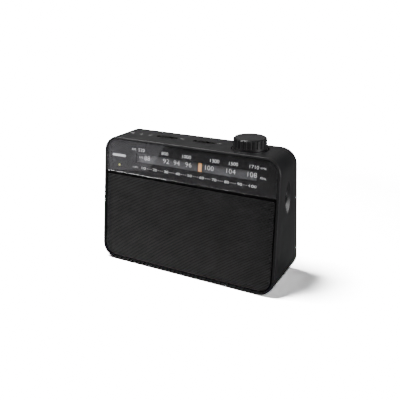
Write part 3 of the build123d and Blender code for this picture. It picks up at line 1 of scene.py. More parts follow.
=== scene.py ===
import bpy
import math
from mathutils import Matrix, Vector


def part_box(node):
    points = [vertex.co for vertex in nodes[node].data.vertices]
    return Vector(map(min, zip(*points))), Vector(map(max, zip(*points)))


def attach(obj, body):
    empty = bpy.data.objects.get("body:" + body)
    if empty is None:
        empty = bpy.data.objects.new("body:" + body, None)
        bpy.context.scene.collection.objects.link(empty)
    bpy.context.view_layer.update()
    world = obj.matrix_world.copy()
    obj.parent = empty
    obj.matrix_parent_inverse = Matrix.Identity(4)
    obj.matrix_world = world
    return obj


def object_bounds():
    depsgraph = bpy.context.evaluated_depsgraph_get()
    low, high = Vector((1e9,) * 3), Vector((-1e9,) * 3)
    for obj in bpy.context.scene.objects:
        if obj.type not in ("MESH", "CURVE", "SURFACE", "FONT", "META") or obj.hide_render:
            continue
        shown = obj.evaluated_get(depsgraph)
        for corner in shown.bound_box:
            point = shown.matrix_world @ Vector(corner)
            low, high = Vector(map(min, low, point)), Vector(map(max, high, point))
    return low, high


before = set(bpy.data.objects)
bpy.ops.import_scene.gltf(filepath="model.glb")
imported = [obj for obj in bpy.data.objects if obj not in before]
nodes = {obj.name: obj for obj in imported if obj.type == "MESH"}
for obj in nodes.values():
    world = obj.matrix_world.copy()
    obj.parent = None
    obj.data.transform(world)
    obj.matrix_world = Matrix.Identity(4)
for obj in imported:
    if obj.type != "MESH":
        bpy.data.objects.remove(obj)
cad_low, cad_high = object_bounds()
mm = 0.001

# ---------------------------------------------------------------- camera
# A short telephoto lens a little over half a metre away, above and to the right
# of the dial, so that the front, the top and the right-hand side all show.
camera_turn = math.radians(27.98)
camera_rise = math.radians(17.54)
camera_distance = 0.5366
camera_target = Vector((2.8 * mm, 0, 99.6 * mm))
camera_back = Vector((
    math.sin(camera_turn) * math.cos(camera_rise),
    -math.cos(camera_turn) * math.cos(camera_rise),
    math.sin(camera_rise),
))
bpy.ops.object.select_all(action="DESELECT")
bpy.ops.object.camera_add()
camera = bpy.context.object
camera.name = "studio_camera"
camera.location = camera_target + camera_back * camera_distance
camera.rotation_euler = (-camera_back).to_track_quat("-Z", "Y").to_euler()
camera.data.sensor_width = 36
camera.data.lens = 49.69
camera.data.shift_y = -0.075
camera.data.clip_start = 0.01
camera.data.clip_end = 200
bpy.context.scene.camera = camera

# ---------------------------------------------------------------- studio
# White paper under soft boxes: one overhead and to the left throws the shadow,
# the others light only the object, and a leaning strip shows in the window.
# The paper's far part and the air behind it are lit on their own, evenly white.
full_white = 22.0
paper_even_from = 0.35
paper_even_to = 1.0


def add_node(tree, kind, place, **settings):
    """A shader node with its settings, at its place in the editor."""
    made = tree.nodes.new(kind)
    made.location = place
    for setting, value in settings.items():
        setattr(made, setting, value)
    return made


bpy.ops.mesh.primitive_plane_add(size=80, location=(0, 0, cad_low.z))
studio_floor = bpy.context.object
studio_floor.name = "studio_floor"
paper = bpy.data.materials.new("studio_paper")
paper.use_nodes = True
paper_tree = paper.node_tree
paper_tree.nodes.clear()
paper_out = add_node(paper_tree, "ShaderNodeOutputMaterial", (600, 0))
paper_mix = add_node(paper_tree, "ShaderNodeMixShader", (400, 0))
paper_seen = add_node(paper_tree, "ShaderNodeBsdfDiffuse", (0, -200))
paper_seen.inputs["Color"].default_value = (34.0, 34.0, 34.0, 1)
paper_bounce = add_node(paper_tree, "ShaderNodeBsdfDiffuse", (0, 100))
paper_bounce.inputs["Color"].default_value = (0.3, 0.3, 0.3, 1)
paper_rays = add_node(paper_tree, "ShaderNodeLightPath", (0, 400))
paper_place = add_node(paper_tree, "ShaderNodeTexCoord", (-600, -400))
paper_reach = add_node(paper_tree, "ShaderNodeVectorMath", (-400, -400), operation="LENGTH")
paper_fade = add_node(paper_tree, "ShaderNodeMapRange", (-200, -400))
paper_fade.inputs["From Min"].default_value = paper_even_from
paper_fade.inputs["From Max"].default_value = paper_even_to
paper_fade.inputs["To Max"].default_value = full_white
paper_glow = add_node(paper_tree, "ShaderNodeEmission", (0, -400))
paper_lit = add_node(paper_tree, "ShaderNodeAddShader", (200, -300))
paper_tree.links.new(paper_place.outputs["Object"], paper_reach.inputs[0])
paper_tree.links.new(paper_reach.outputs["Value"], paper_fade.inputs["Value"])
paper_tree.links.new(paper_fade.outputs["Result"], paper_glow.inputs["Strength"])
paper_tree.links.new(paper_seen.outputs[0], paper_lit.inputs[0])
paper_tree.links.new(paper_glow.outputs[0], paper_lit.inputs[1])
paper_tree.links.new(paper_rays.outputs["Is Camera Ray"], paper_mix.inputs[0])
paper_tree.links.new(paper_bounce.outputs[0], paper_mix.inputs[1])
paper_tree.links.new(paper_lit.outputs[0], paper_mix.inputs[2])
paper_tree.links.new(paper_mix.outputs[0], paper_out.inputs["Surface"])
studio_floor.data.materials.append(paper)

off_the_floor = bpy.data.collections.new("off_the_floor")
off_the_floor.objects.link(studio_floor)
off_the_floor.collection_objects[0].light_linking.link_state = "EXCLUDE"


def soft_box(name, place, aim, wide, tall, radiance, colour=(1, 1, 1), floor_too=False):
    """A rectangular soft box that faces its aim point and, unless told, spares the paper."""
    bpy.ops.object.select_all(action="DESELECT")
    bpy.ops.object.light_add(type="AREA", location=place)
    lamp = bpy.context.object
    lamp.name = name
    lamp.data.shape = "RECTANGLE"
    lamp.data.size = wide
    lamp.data.size_y = tall
    lamp.data.energy = radiance * math.pi * wide * tall
    lamp.data.color = colour
    lamp.rotation_euler = (Vector(aim) - Vector(place)).to_track_quat("-Z", "Y").to_euler()
    lamp.visible_camera = False
    if not floor_too:
        lamp.light_linking.receiver_collection = off_the_floor
    return lamp


soft_box("key_box", (-0.36, -0.20, 1.2), (0, 0, 0.05), 0.4, 0.4, 20, floor_too=True)
soft_box("side_box", (2.2, -0.2, 0.5), (0, 0, 0.06), 0.9, 0.9, 24)
soft_box("front_box", (-0.34, -0.30, 0.42), (-0.04, -0.02, 0.08), 0.2, 0.2, 24)
soft_box("edge_box", (-0.56, -0.60, 0.90), (-0.04, 0, 0.12), 0.2, 0.2, 20)
soft_box("rear_box", (-0.7, 2.1, 0.8), (0, 0, 0.06), 2.0, 0.9, 0.35)
strip_box = soft_box(
    "strip_box", (-0.455, -0.494, 0.28), (-0.055, 0.001, 0.28), 0.45, 0.5, 0.62, (0.95, 0.93, 1.0)
)
strip_lean = math.radians(-30)
strip_box.rotation_euler.rotate_axis("Z", strip_lean)

studio_air = bpy.data.worlds.new("studio_air")
bpy.context.scene.world = studio_air
studio_air.use_nodes = True
air_tree = studio_air.node_tree
air_shade = air_tree.nodes["Background"]
air_shade.inputs["Strength"].default_value = 1.0
air_place = add_node(air_tree, "ShaderNodeTexCoord", (-800, 0))
air_split = add_node(air_tree, "ShaderNodeSeparateXYZ", (-600, 0))
air_ramp = add_node(air_tree, "ShaderNodeValToRGB", (-400, 0))
air_ramp.color_ramp.elements[0].position = 0.0
air_ramp.color_ramp.elements[0].color = (0.003, 0.003, 0.003, 1)
air_ramp.color_ramp.elements[1].position = 0.8
air_ramp.color_ramp.elements[1].color = (0.006, 0.006, 0.006, 1)
air_white = add_node(air_tree, "ShaderNodeBackground", (0, -200))
air_white.inputs["Color"].default_value = (1, 1, 1, 1)
air_white.inputs["Strength"].default_value = full_white
air_rays = add_node(air_tree, "ShaderNodeLightPath", (0, 400))
air_mix = add_node(air_tree, "ShaderNodeMixShader", (200, 200))
air_tree.links.new(air_place.outputs["Generated"], air_split.inputs[0])
air_tree.links.new(air_split.outputs["Z"], air_ramp.inputs[0])
air_tree.links.new(air_ramp.outputs[0], air_shade.inputs["Color"])
air_tree.links.new(air_rays.outputs["Is Camera Ray"], air_mix.inputs[0])
air_tree.links.new(air_shade.outputs[0], air_mix.inputs[1])
air_tree.links.new(air_white.outputs[0], air_mix.inputs[2])
air_tree.links.new(air_mix.outputs[0], air_tree.nodes["World Output"].inputs["Surface"])

# ---------------------------------------------------------------- cabinet
# The wrap-round shell and the rear cover screwed to it are injection moulded in
# black polystyrene; the tool is spark-eroded, which leaves a fine satin texture.


def moulded_plastic(name, colour, lighter, roughness, texture_size, texture_depth, mottle=0.12):
    """Moulded plastic: an eroded texture, faint flow mottling and rubbed, glossier patches."""
    made = bpy.data.materials.new(name)
    made.use_nodes = True
    tree = made.node_tree
    shader = tree.nodes["Principled BSDF"]
    place = add_node(tree, "ShaderNodeTexCoord", (-1000, 0))
    flow = add_node(tree, "ShaderNodeTexNoise", (-800, 200))
    flow.inputs["Scale"].default_value = 28
    flow.inputs["Detail"].default_value = 4
    tint = add_node(tree, "ShaderNodeValToRGB", (-500, 200))
    tint.color_ramp.elements[0].position = 0.5 - mottle
    tint.color_ramp.elements[0].color = (*colour, 1)
    tint.color_ramp.elements[1].position = 0.5 + mottle
    tint.color_ramp.elements[1].color = (*lighter, 1)
    grain = add_node(tree, "ShaderNodeTexNoise", (-800, -100))
    grain.inputs["Scale"].default_value = 1 / texture_size
    grain.inputs["Detail"].default_value = 3
    grain.inputs["Roughness"].default_value = 0.6
    rub = add_node(tree, "ShaderNodeTexNoise", (-800, -400))
    rub.inputs["Scale"].default_value = 60
    rub.inputs["Detail"].default_value = 5
    shine = add_node(tree, "ShaderNodeMapRange", (-500, -400))
    shine.inputs["From Min"].default_value = 0.3
    shine.inputs["From Max"].default_value = 0.7
    shine.inputs["To Min"].default_value = roughness - 0.05
    shine.inputs["To Max"].default_value = roughness + 0.05
    relief = add_node(tree, "ShaderNodeBump", (-400, -150))
    relief.inputs["Strength"].default_value = 0.35
    relief.inputs["Distance"].default_value = texture_depth
    for texture in (flow, grain, rub):
        tree.links.new(place.outputs["Object"], texture.inputs["Vector"])
    tree.links.new(flow.outputs["Fac"], tint.inputs["Fac"])
    tree.links.new(tint.outputs["Color"], shader.inputs["Base Color"])
    tree.links.new(grain.outputs["Fac"], relief.inputs["Height"])
    tree.links.new(relief.outputs["Normal"], shader.inputs["Normal"])
    tree.links.new(rub.outputs["Fac"], shine.inputs["Value"])
    tree.links.new(shine.outputs["Result"], shader.inputs["Roughness"])
    shader.inputs["IOR"].default_value = 1.5
    shader.inputs["Specular IOR Level"].default_value = 0.35
    return made


def finish_nodes(material, *names):
    """Gives CAD nodes their material."""
    for name in names:
        slots = nodes[name].data.materials
        slots.clear()
        slots.append(material)


cabinet_black = moulded_plastic(
    "cabinet_black", (0.010, 0.010, 0.0105), (0.014, 0.014, 0.0145), 0.42, 0.5 * mm, 0.03 * mm
)
finish_nodes(cabinet_black, "cabinet", "rear_cover", "battery_door", "knob_collar")

# ---------------------------------------------------------------- grille
# One black moulding with fine level louvres.  Their up-facing sloping floors carry painted light
# and a glossier finish, while the lands between them and the flat tops carry painted shade; what
# lies behind is frame plastic.
# The mix node's colour sockets are picked by number, because their names repeat.
louvre_floor_from = 0.5
louvre_floor_to = 0.95
# Painted shade on the lands and flat tops, painted light on the louvre floors.
land_painted_shade = (0.2, 0.2, 0.2, 1)
floor_painted_light = (1.1, 1.1, 1.1, 1)
sheen_share = 0.14
mix_factor, mix_first, mix_second, mix_result = 0, 6, 7, 2
grille_black = moulded_plastic(
    "grille_black", (0.016, 0.016, 0.0165), (0.022, 0.022, 0.0225), 0.5, 0.4 * mm, 0.02 * mm
)
grille_tree = grille_black.node_tree
grille_shader = grille_tree.nodes["Principled BSDF"]
grille_tint = grille_shader.inputs["Base Color"].links[0].from_socket
grille_faces = add_node(grille_tree, "ShaderNodeTexCoord", (-1000, 500))
grille_split = add_node(grille_tree, "ShaderNodeSeparateXYZ", (-800, 500))
# Painted light and shade: colour and specular level follow which way each face points, lighter on
# the up-facing floors, darker on the fronts and flat tops.
grille_painted_light = add_node(grille_tree, "ShaderNodeValToRGB", (-500, 500))
grille_painted_light.color_ramp.interpolation = "CONSTANT"
grille_painted_light.color_ramp.elements[0].color = land_painted_shade
grille_painted_light.color_ramp.elements[1].position = louvre_floor_from
grille_painted_light.color_ramp.elements[1].color = floor_painted_light
grille_painted_light.color_ramp.elements.new(louvre_floor_to).color = land_painted_shade
grille_mix = add_node(
    grille_tree, "ShaderNodeMix", (-200, 400), data_type="RGBA", blend_type="MULTIPLY"
)
grille_mix.inputs[mix_factor].default_value = 1.0
grille_tree.links.new(grille_faces.outputs["Normal"], grille_split.inputs[0])
grille_tree.links.new(grille_split.outputs["Z"], grille_painted_light.inputs["Fac"])
grille_tree.links.new(grille_tint, grille_mix.inputs[mix_first])
grille_tree.links.new(grille_painted_light.outputs["Color"], grille_mix.inputs[mix_second])
grille_tree.links.new(grille_mix.outputs[mix_result], grille_shader.inputs["Base Color"])
grille_sheen = add_node(grille_tree, "ShaderNodeMath", (-200, 150), operation="MULTIPLY")
grille_sheen.inputs[1].default_value = sheen_share
grille_tree.links.new(grille_painted_light.outputs["Color"], grille_sheen.inputs[0])
grille_tree.links.new(grille_sheen.outputs[0], grille_shader.inputs["Specular IOR Level"])
frame_black = moulded_plastic(
    "frame_black", (0.016, 0.016, 0.016), (0.022, 0.022, 0.022), 0.55, 0.6 * mm, 0.03 * mm
)
finish_nodes(grille_black, "front_grille")
finish_nodes(
    frame_black, "front_baffle", "chassis", "battery_tray", "rod_clips", "cord_drum",
    "idler_left_pulley", "idler_right_pulley", "pointer_carriage",
)

# ---------------------------------------------------------------- dial window
# A clear acrylic pane, polished on both faces and faintly hazed by wiping.  It
# clips into the cabinet, and lamp light passes straight through it to the scale.
pane = bpy.data.materials.new("clear_acrylic")
pane.use_nodes = True
pane_tree = pane.node_tree
pane_shader = pane_tree.nodes["Principled BSDF"]
pane_shader.inputs["Base Color"].default_value = (0.93, 0.93, 0.94, 1)
pane_shader.inputs["Transmission Weight"].default_value = 1.0
pane_shader.inputs["IOR"].default_value = 1.49
pane_place = add_node(pane_tree, "ShaderNodeTexCoord", (-800, 0))
pane_wipe = add_node(pane_tree, "ShaderNodeTexNoise", (-600, 0))
pane_wipe.inputs["Scale"].default_value = 120
pane_wipe.inputs["Detail"].default_value = 4
pane_haze = add_node(pane_tree, "ShaderNodeMapRange", (-300, 0))
pane_haze.inputs["To Min"].default_value = 0.012
pane_haze.inputs["To Max"].default_value = 0.028
pane_tree.links.new(pane_place.outputs["Object"], pane_wipe.inputs["Vector"])
pane_tree.links.new(pane_wipe.outputs["Fac"], pane_haze.inputs["Value"])
pane_tree.links.new(pane_haze.outputs["Result"], pane_shader.inputs["Roughness"])
pane_clear = add_node(pane_tree, "ShaderNodeBsdfTransparent", (0, -300))
pane_clear.inputs["Color"].default_value = (0.9, 0.9, 0.91, 1)
pane_rays = add_node(pane_tree, "ShaderNodeLightPath", (0, 300))
pane_mix = add_node(pane_tree, "ShaderNodeMixShader", (300, 0))
pane_tree.links.new(pane_rays.outputs["Is Shadow Ray"], pane_mix.inputs[0])
pane_tree.links.new(pane_shader.outputs[0], pane_mix.inputs[1])
pane_tree.links.new(pane_clear.outputs[0], pane_mix.inputs[2])
pane_tree.links.new(pane_mix.outputs[0], pane_tree.nodes["Material Output"].inputs["Surface"])
finish_nodes(pane, "dial_lens")

# ---------------------------------------------------------------- dial scale
# A black sheet with a long window over a pale grey strip, held in the case front.
# The figures are silk-screened on both: a thin raised film of white ink.
scale_black = moulded_plastic(
    "scale_black", (0.005, 0.005, 0.0055), (0.007, 0.007, 0.0075), 0.45, 0.3 * mm, 0.01 * mm
)
finish_nodes(scale_black, "dial_scale")
strip_grey = moulded_plastic(
    "strip_grey", (0.10, 0.10, 0.104), (0.115, 0.115, 0.119), 0.5, 0.4 * mm, 0.01 * mm
)
finish_nodes(strip_grey, "scale_backing")
white_ink = moulded_plastic(
    "white_ink", (0.90, 0.90, 0.90), (1.0, 1.0, 1.0), 0.5, 0.15 * mm, 0.01 * mm
)

scale_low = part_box("dial_scale")[0]
strip_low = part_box("scale_backing")[0]
lean = math.radians(5.2)
ink_film = 0.03 * mm
letter_depth = 0.01
strip_behind_scale = 2.8 * mm
strip_face_low = (
    scale_low.y + (strip_low.z - scale_low.z) * math.tan(lean) + strip_behind_scale / math.cos(lean)
)


def printed_word(word, wide, tall, place, tilt):
    """A word in flat ink, made to a width and height, at its place on a tilted surface."""
    bpy.ops.object.select_all(action="DESELECT")
    bpy.ops.object.text_add()
    made = bpy.context.object
    made.data.body = word
    made.data.align_x = "CENTER"
    made.data.align_y = "CENTER"
    made.data.resolution_u = 3
    made.data.offset = -0.012
    made.data.extrude = letter_depth
    bpy.ops.object.convert(target="MESH")
    made = bpy.context.object
    corners = [vertex.co for vertex in made.data.vertices]
    low = Vector((min(c.x for c in corners), min(c.y for c in corners), 0))
    high = Vector((max(c.x for c in corners), max(c.y for c in corners), 0))
    size = high - low
    centre = (low + high) / 2
    for vertex in made.data.vertices:
        vertex.co.x = (vertex.co.x - centre.x) * wide * mm / size.x
        vertex.co.y = (vertex.co.y - centre.y) * tall * mm / size.y
        vertex.co.z = vertex.co.z / letter_depth * ink_film / 2
    made.rotation_euler = (tilt, 0, 0)
    made.location = place
    bpy.ops.object.transform_apply(location=True, rotation=True, scale=True)
    return made


def dial_word(word, left, right, middle, tall, surface):
    """A word on the dial between two X positions, centred on a height."""
    place = ((left + right) / 2 * mm, surface(middle * mm), middle * mm)
    return printed_word(word, right - left, tall, place, math.pi / 2 - lean)


def joined(pieces, name, material, body):
    """Joins pieces into one, with a material and a body."""
    bpy.ops.object.select_all(action="DESELECT")
    for piece in pieces:
        piece.select_set(True)
    bpy.context.view_layer.objects.active = pieces[0]
    if len(pieces) > 1:
        bpy.ops.object.join()
    whole = bpy.context.object
    whole.name = name
    whole.data.materials.clear()
    whole.data.materials.append(material)
    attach(whole, body)
    return whole


def scale_face(z):
    """Y of the ink on the front of the printed sheet, at height z."""
    return scale_low.y + (z - scale_low.z) * math.tan(lean) - ink_film / 2


def on_strip(z):
    """Y of the ink on the front of the pale strip, at height z."""
    return strip_face_low + (z - strip_low.z) * math.tan(lean) - ink_film / 2


# A thin black band lies just behind the window's lower edge,
# so that nothing behind the sheet shows there.
lens_low, lens_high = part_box("dial_lens")
band_tall = 2.3 * mm
band_thick = 0.06 * mm
band_side_gap = 0.6 * mm
band_behind_face = 2.1 * mm
band_z = lens_low.z + band_tall / 2
band_y = lens_low.y + (band_z - lens_low.z) * math.tan(lean) + band_behind_face / math.cos(lean)
bpy.ops.object.select_all(action="DESELECT")
bpy.ops.mesh.primitive_cube_add(size=1, location=(0, band_y, band_z), rotation=(-lean, 0, 0))
window_border = bpy.context.object
window_border.scale = (lens_high.x - lens_low.x - 2 * band_side_gap, band_thick, band_tall)
bpy.ops.object.transform_apply(location=True, rotation=True, scale=True)
border_edge = window_border.modifiers.new("edge", "BEVEL")
border_edge.width = band_thick / 4
border_edge.segments = 2
bpy.ops.object.modifier_apply(modifier="edge")
joined([window_border], "window_border", scale_black, "housing")

am_row = 117.7
am_words = (
    ("AM", -61.8, -57.4, 2.1), ("520", -54, -47, 3.2), ("800", -27.5, -20.3, 3.2),
    ("1000", -4.9, 4.5, 3.2), ("1300", 24.4, 33.6, 3.2), ("1500", 43.5, 52.3, 3.2),
    ("1710", 63.5, 72.3, 3.2), ("kHz", 74, 79.2, 2.0),
)
am_pieces = [dial_word(w, a, b, am_row, tall, scale_face) for w, a, b, tall in am_words]
joined(am_pieces, "am_figures", white_ink, "housing")
fm_row = 109.6
fm_words = (
    ("FM", -54.8, -50.6, 2.4), ("88", -48.8, -42.2, 4.4), ("92", -27.4, -20.6, 4.4),
    ("94", -15.6, -9.0, 4.4), ("96", -2.8, 3.8, 4.4), ("100", 18.2, 27, 4.4),
    ("104", 40, 49, 4.4), ("108", 60.8, 69.8, 4.4),
)
fm_pieces = [dial_word(w, a, b, fm_row, tall, on_strip) for w, a, b, tall in fm_words]
joined(fm_pieces, "fm_figures", white_ink, "housing")
# The logging row runs from 10 to 100 with three dots between its figures.
log_row = 100.2
log_start = -47.5
log_pitch = 12.8
log_tall = 2.5
half_of_two_digits = 2.3
half_of_three_digits = 3.4
dot_start = 4.3
dot_pitch = 2.1
dot_radius = 0.32 * mm
log_last = 9
log_pieces = [
    dial_word("LOG", -60.2, -54.8, log_row, 1.8, scale_face),
    dial_word("MHz", 74.2, 79.6, 108.7, 2.0, scale_face),
]
for step in range(log_last + 1):
    middle = log_start + log_pitch * step
    half = half_of_two_digits if step < log_last else half_of_three_digits
    log_pieces.append(
        dial_word(str(10 * (step + 1)), middle - half, middle + half, log_row, log_tall, scale_face)
    )
    if step < log_last:
        for dot in range(3):
            dot_x = (middle + dot_start + dot_pitch * dot) * mm
            bpy.ops.object.select_all(action="DESELECT")
            bpy.ops.mesh.primitive_cylinder_add(
                vertices=12, radius=dot_radius, depth=ink_film,
                location=(dot_x, scale_face(log_row * mm), log_row * mm),
                rotation=(math.pi / 2 - lean, 0, 0),
            )
            bpy.ops.object.transform_apply(location=True, rotation=True, scale=True)
            log_pieces.append(bpy.context.object)
joined(log_pieces, "log_figures", white_ink, "housing")

# ---------------------------------------------------------------- pointer, nameplate and lamp
# The pointer blade is pale orange plastic on the sliding carriage; the nameplate
# is a blank glued strip of silvery foil; the lamp is a yellow diffused diode.
pointer_orange = moulded_plastic(
    "pointer_orange", (0.92, 0.46, 0.20), (1.0, 0.56, 0.28), 0.4, 0.4 * mm, 0.01 * mm
)
finish_nodes(pointer_orange, "dial_pointer")
plate_foil = moulded_plastic(
    "plate_foil", (0.50, 0.50, 0.51), (0.62, 0.62, 0.63), 0.35, 0.2 * mm, 0.01 * mm
)
finish_nodes(plate_foil, "nameplate")
lamp_yellow = moulded_plastic(
    "lamp_yellow", (0.45, 0.45, 0.12), (0.60, 0.60, 0.20), 0.2, 0.5 * mm, 0.005 * mm
)
finish_nodes(lamp_yellow, "power_led")

# ---------------------------------------------------------------- controls
# Knob, thumbwheel and the two sliders, each on its own shaft or switch, are
# moulded in a slightly glossier black.  Tiny white words are printed on the top.
control_black = moulded_plastic(
    "control_black", (0.011, 0.011, 0.0115), (0.015, 0.015, 0.0155), 0.36, 0.4 * mm, 0.02 * mm
)
finish_nodes(control_black, "tuning_knob", "volume_wheel", "band_slider", "power_slider")

cabinet_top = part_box("cabinet")[1].z
top_words = (
    ("POWER", -75.0, -1.0, 5.0, 1.5), ("LED", -63.5, -1.0, 3.4, 1.5),
    ("OFF", -52.7, -1.0, 4.0, 1.6), ("ON", -16.9, 1.0, 3.4, 1.6), ("FM", 22.9, 0.8, 3.6, 1.6),
)
top_pieces = [
    printed_word(word, wide, tall, (x * mm, y * mm, cabinet_top + ink_film / 2), 0)
    for word, x, y, wide, tall in top_words
]
joined(top_pieces, "top_figures", white_ink, "housing")

# ---------------------------------------------------------------- metal pieces
# Screws, springs and brackets are nickel-plated steel, the cover's own screws
# blackened steel; the telescopic antenna is chrome-plated tube on its bracket;
# the spindles are turned brass.


def plated_metal(name, colour, darker, roughness, grain_size, stretch):
    """Bare or plated metal with drawn grain along one axis and faint tarnish."""
    made = bpy.data.materials.new(name)
    made.use_nodes = True
    tree = made.node_tree
    shader = tree.nodes["Principled BSDF"]
    place = add_node(tree, "ShaderNodeTexCoord", (-1200, 0))
    pull = add_node(tree, "ShaderNodeMapping", (-1000, -200))
    pull.inputs["Scale"].default_value = stretch
    tarnish = add_node(tree, "ShaderNodeTexNoise", (-800, 200))
    tarnish.inputs["Scale"].default_value = 90
    tarnish.inputs["Detail"].default_value = 5
    tint = add_node(tree, "ShaderNodeValToRGB", (-500, 200))
    tint.color_ramp.elements[0].position = 0.35
    tint.color_ramp.elements[0].color = (*darker, 1)
    tint.color_ramp.elements[1].position = 0.6
    tint.color_ramp.elements[1].color = (*colour, 1)
    grain = add_node(tree, "ShaderNodeTexNoise", (-800, -200))
    grain.inputs["Scale"].default_value = 1 / grain_size
    grain.inputs["Detail"].default_value = 4
    shine = add_node(tree, "ShaderNodeMapRange", (-500, -400))
    shine.inputs["To Min"].default_value = roughness * 0.6
    shine.inputs["To Max"].default_value = roughness * 1.4
    relief = add_node(tree, "ShaderNodeBump", (-400, -150))
    relief.inputs["Strength"].default_value = 0.15
    relief.inputs["Distance"].default_value = 0.005 * mm
    tree.links.new(place.outputs["Object"], pull.inputs["Vector"])
    tree.links.new(place.outputs["Object"], tarnish.inputs["Vector"])
    tree.links.new(pull.outputs["Vector"], grain.inputs["Vector"])
    tree.links.new(tarnish.outputs["Fac"], tint.inputs["Fac"])
    tree.links.new(tint.outputs["Color"], shader.inputs["Base Color"])
    tree.links.new(grain.outputs["Fac"], shine.inputs["Value"])
    tree.links.new(shine.outputs["Result"], shader.inputs["Roughness"])
    tree.links.new(grain.outputs["Fac"], relief.inputs["Height"])
    tree.links.new(relief.outputs["Normal"], shader.inputs["Normal"])
    shader.inputs["Metallic"].default_value = 1.0
    return made


along_x = (0.05, 1, 1)
no_grain = (1, 1, 1)
nickel = plated_metal(
    "plated_steel", (0.62, 0.61, 0.58), (0.48, 0.47, 0.44), 0.3, 0.5 * mm, no_grain
)
chrome = plated_metal(
    "chrome_tube", (0.78, 0.79, 0.80), (0.68, 0.69, 0.70), 0.12, 0.3 * mm, along_x
)
brass = plated_metal(
    "turned_brass", (0.72, 0.53, 0.26), (0.58, 0.41, 0.19), 0.28, 0.3 * mm, no_grain
)
blackened = plated_metal(
    "black_screws", (0.05, 0.05, 0.055), (0.03, 0.03, 0.033), 0.4, 0.3 * mm, no_grain
)
finish_nodes(
    nickel, "pointer_rail", "idler_pins", "speaker_frame", "inner_screws", "battery_contacts",
    "battery_spring", "tuned_coils", "switch_bodies", "speaker_magnet",
)
finish_nodes(blackened, "cover_screws")
finish_nodes(
    chrome, "antenna_section_1", "antenna_section_2", "antenna_section_3", "antenna_tip",
    "antenna_swivel", "antenna_pin", "antenna_bracket",
)
finish_nodes(brass, "tuning_shaft", "gang_shaft", "drive_pinion")

# ---------------------------------------------------------------- windings and cord
# The aerial and voice coils are close-wound enamelled copper wire on their formers;
# the dial cord is waxed braided nylon, looped round the drum and two pulleys.
# A wave texture of scale 1 has a band each 0.314 m.
one_band = 0.314


def wound_wire(name, colour, darker, pitch, axis, roughness, metal):
    """Close turns of wire or braid: ridges across an axis, with painted shade in between."""
    made = bpy.data.materials.new(name)
    made.use_nodes = True
    tree = made.node_tree
    shader = tree.nodes["Principled BSDF"]
    place = add_node(tree, "ShaderNodeTexCoord", (-1000, 0))
    turns = add_node(
        tree, "ShaderNodeTexWave", (-800, 0), wave_type="BANDS", bands_direction=axis,
        wave_profile="SIN",
    )
    turns.inputs["Scale"].default_value = one_band / pitch
    turns.inputs["Distortion"].default_value = 0.4
    turns.inputs["Detail"].default_value = 2
    # Painted shade: the colour darkens with the bump, in the gaps between the turns.
    tint = add_node(tree, "ShaderNodeValToRGB", (-500, 150))
    tint.color_ramp.elements[0].color = (*darker, 1)
    tint.color_ramp.elements[1].color = (*colour, 1)
    relief = add_node(tree, "ShaderNodeBump", (-400, -150))
    relief.inputs["Strength"].default_value = 0.8
    relief.inputs["Distance"].default_value = pitch / 3
    tree.links.new(place.outputs["Object"], turns.inputs["Vector"])
    tree.links.new(turns.outputs["Fac"], tint.inputs["Fac"])
    tree.links.new(tint.outputs["Color"], shader.inputs["Base Color"])
    tree.links.new(turns.outputs["Fac"], relief.inputs["Height"])
    tree.links.new(relief.outputs["Normal"], shader.inputs["Normal"])
    shader.inputs["Roughness"].default_value = roughness
    shader.inputs["Metallic"].default_value = metal
    return made


# The darker wire colour is painted shade between the turns.
wire_light = (0.62, 0.26, 0.11)
wire_painted_shade = (0.22, 0.07, 0.03)
copper = wound_wire("enamelled_copper", wire_light, wire_painted_shade, 0.35 * mm, "X", 0.3, 0.8)
voice_copper = wound_wire("voice_copper", wire_light, wire_painted_shade, 0.2 * mm, "Y", 0.3, 0.8)
nylon = wound_wire(
    "braided_cord", (0.62, 0.58, 0.48), (0.30, 0.27, 0.21), 0.5 * mm, "DIAGONAL", 0.6, 0.0
)
finish_nodes(copper, "aerial_coil")
finish_nodes(voice_copper, "voice_coil")
finish_nodes(nylon, "dial_cord")

# ---------------------------------------------------------------- loudspeaker
# A pressed paper cone with a matching cap, glued to a rubber surround in the
# speaker's frame.  The case's four feet are the same rubber.


def cone_paper(name, colour, darker):
    """Pressed paper pulp: fibres, blotches and faint rings about the speaker's axis."""
    made = bpy.data.materials.new(name)
    made.use_nodes = True
    tree = made.node_tree
    shader = tree.nodes["Principled BSDF"]
    place = add_node(tree, "ShaderNodeTexCoord", (-1200, 0))
    centre = add_node(tree, "ShaderNodeMapping", (-1000, 0))
    cone_low, cone_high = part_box("dust_cap")
    middle = (cone_low + cone_high) / 2
    centre.inputs["Location"].default_value = (-middle.x, -middle.y, -middle.z)
    rings = add_node(
        tree, "ShaderNodeTexWave", (-800, 0), wave_type="RINGS", rings_direction="Y",
        wave_profile="SIN",
    )
    rings.inputs["Scale"].default_value = 120
    rings.inputs["Distortion"].default_value = 0.6
    fibre = add_node(tree, "ShaderNodeTexNoise", (-800, -250))
    fibre.inputs["Scale"].default_value = 1500
    fibre.inputs["Detail"].default_value = 6
    tint = add_node(tree, "ShaderNodeValToRGB", (-500, -250))
    tint.color_ramp.elements[0].position = 0.3
    tint.color_ramp.elements[0].color = (*darker, 1)
    tint.color_ramp.elements[1].position = 0.7
    tint.color_ramp.elements[1].color = (*colour, 1)
    relief = add_node(tree, "ShaderNodeBump", (-400, 0))
    relief.inputs["Distance"].default_value = 0.15 * mm
    tree.links.new(place.outputs["Object"], centre.inputs["Vector"])
    tree.links.new(centre.outputs["Vector"], rings.inputs["Vector"])
    tree.links.new(place.outputs["Object"], fibre.inputs["Vector"])
    tree.links.new(fibre.outputs["Fac"], tint.inputs["Fac"])
    tree.links.new(tint.outputs["Color"], shader.inputs["Base Color"])
    tree.links.new(rings.outputs["Fac"], relief.inputs["Height"])
    tree.links.new(relief.outputs["Normal"], shader.inputs["Normal"])
    shader.inputs["Roughness"].default_value = 0.85
    return made


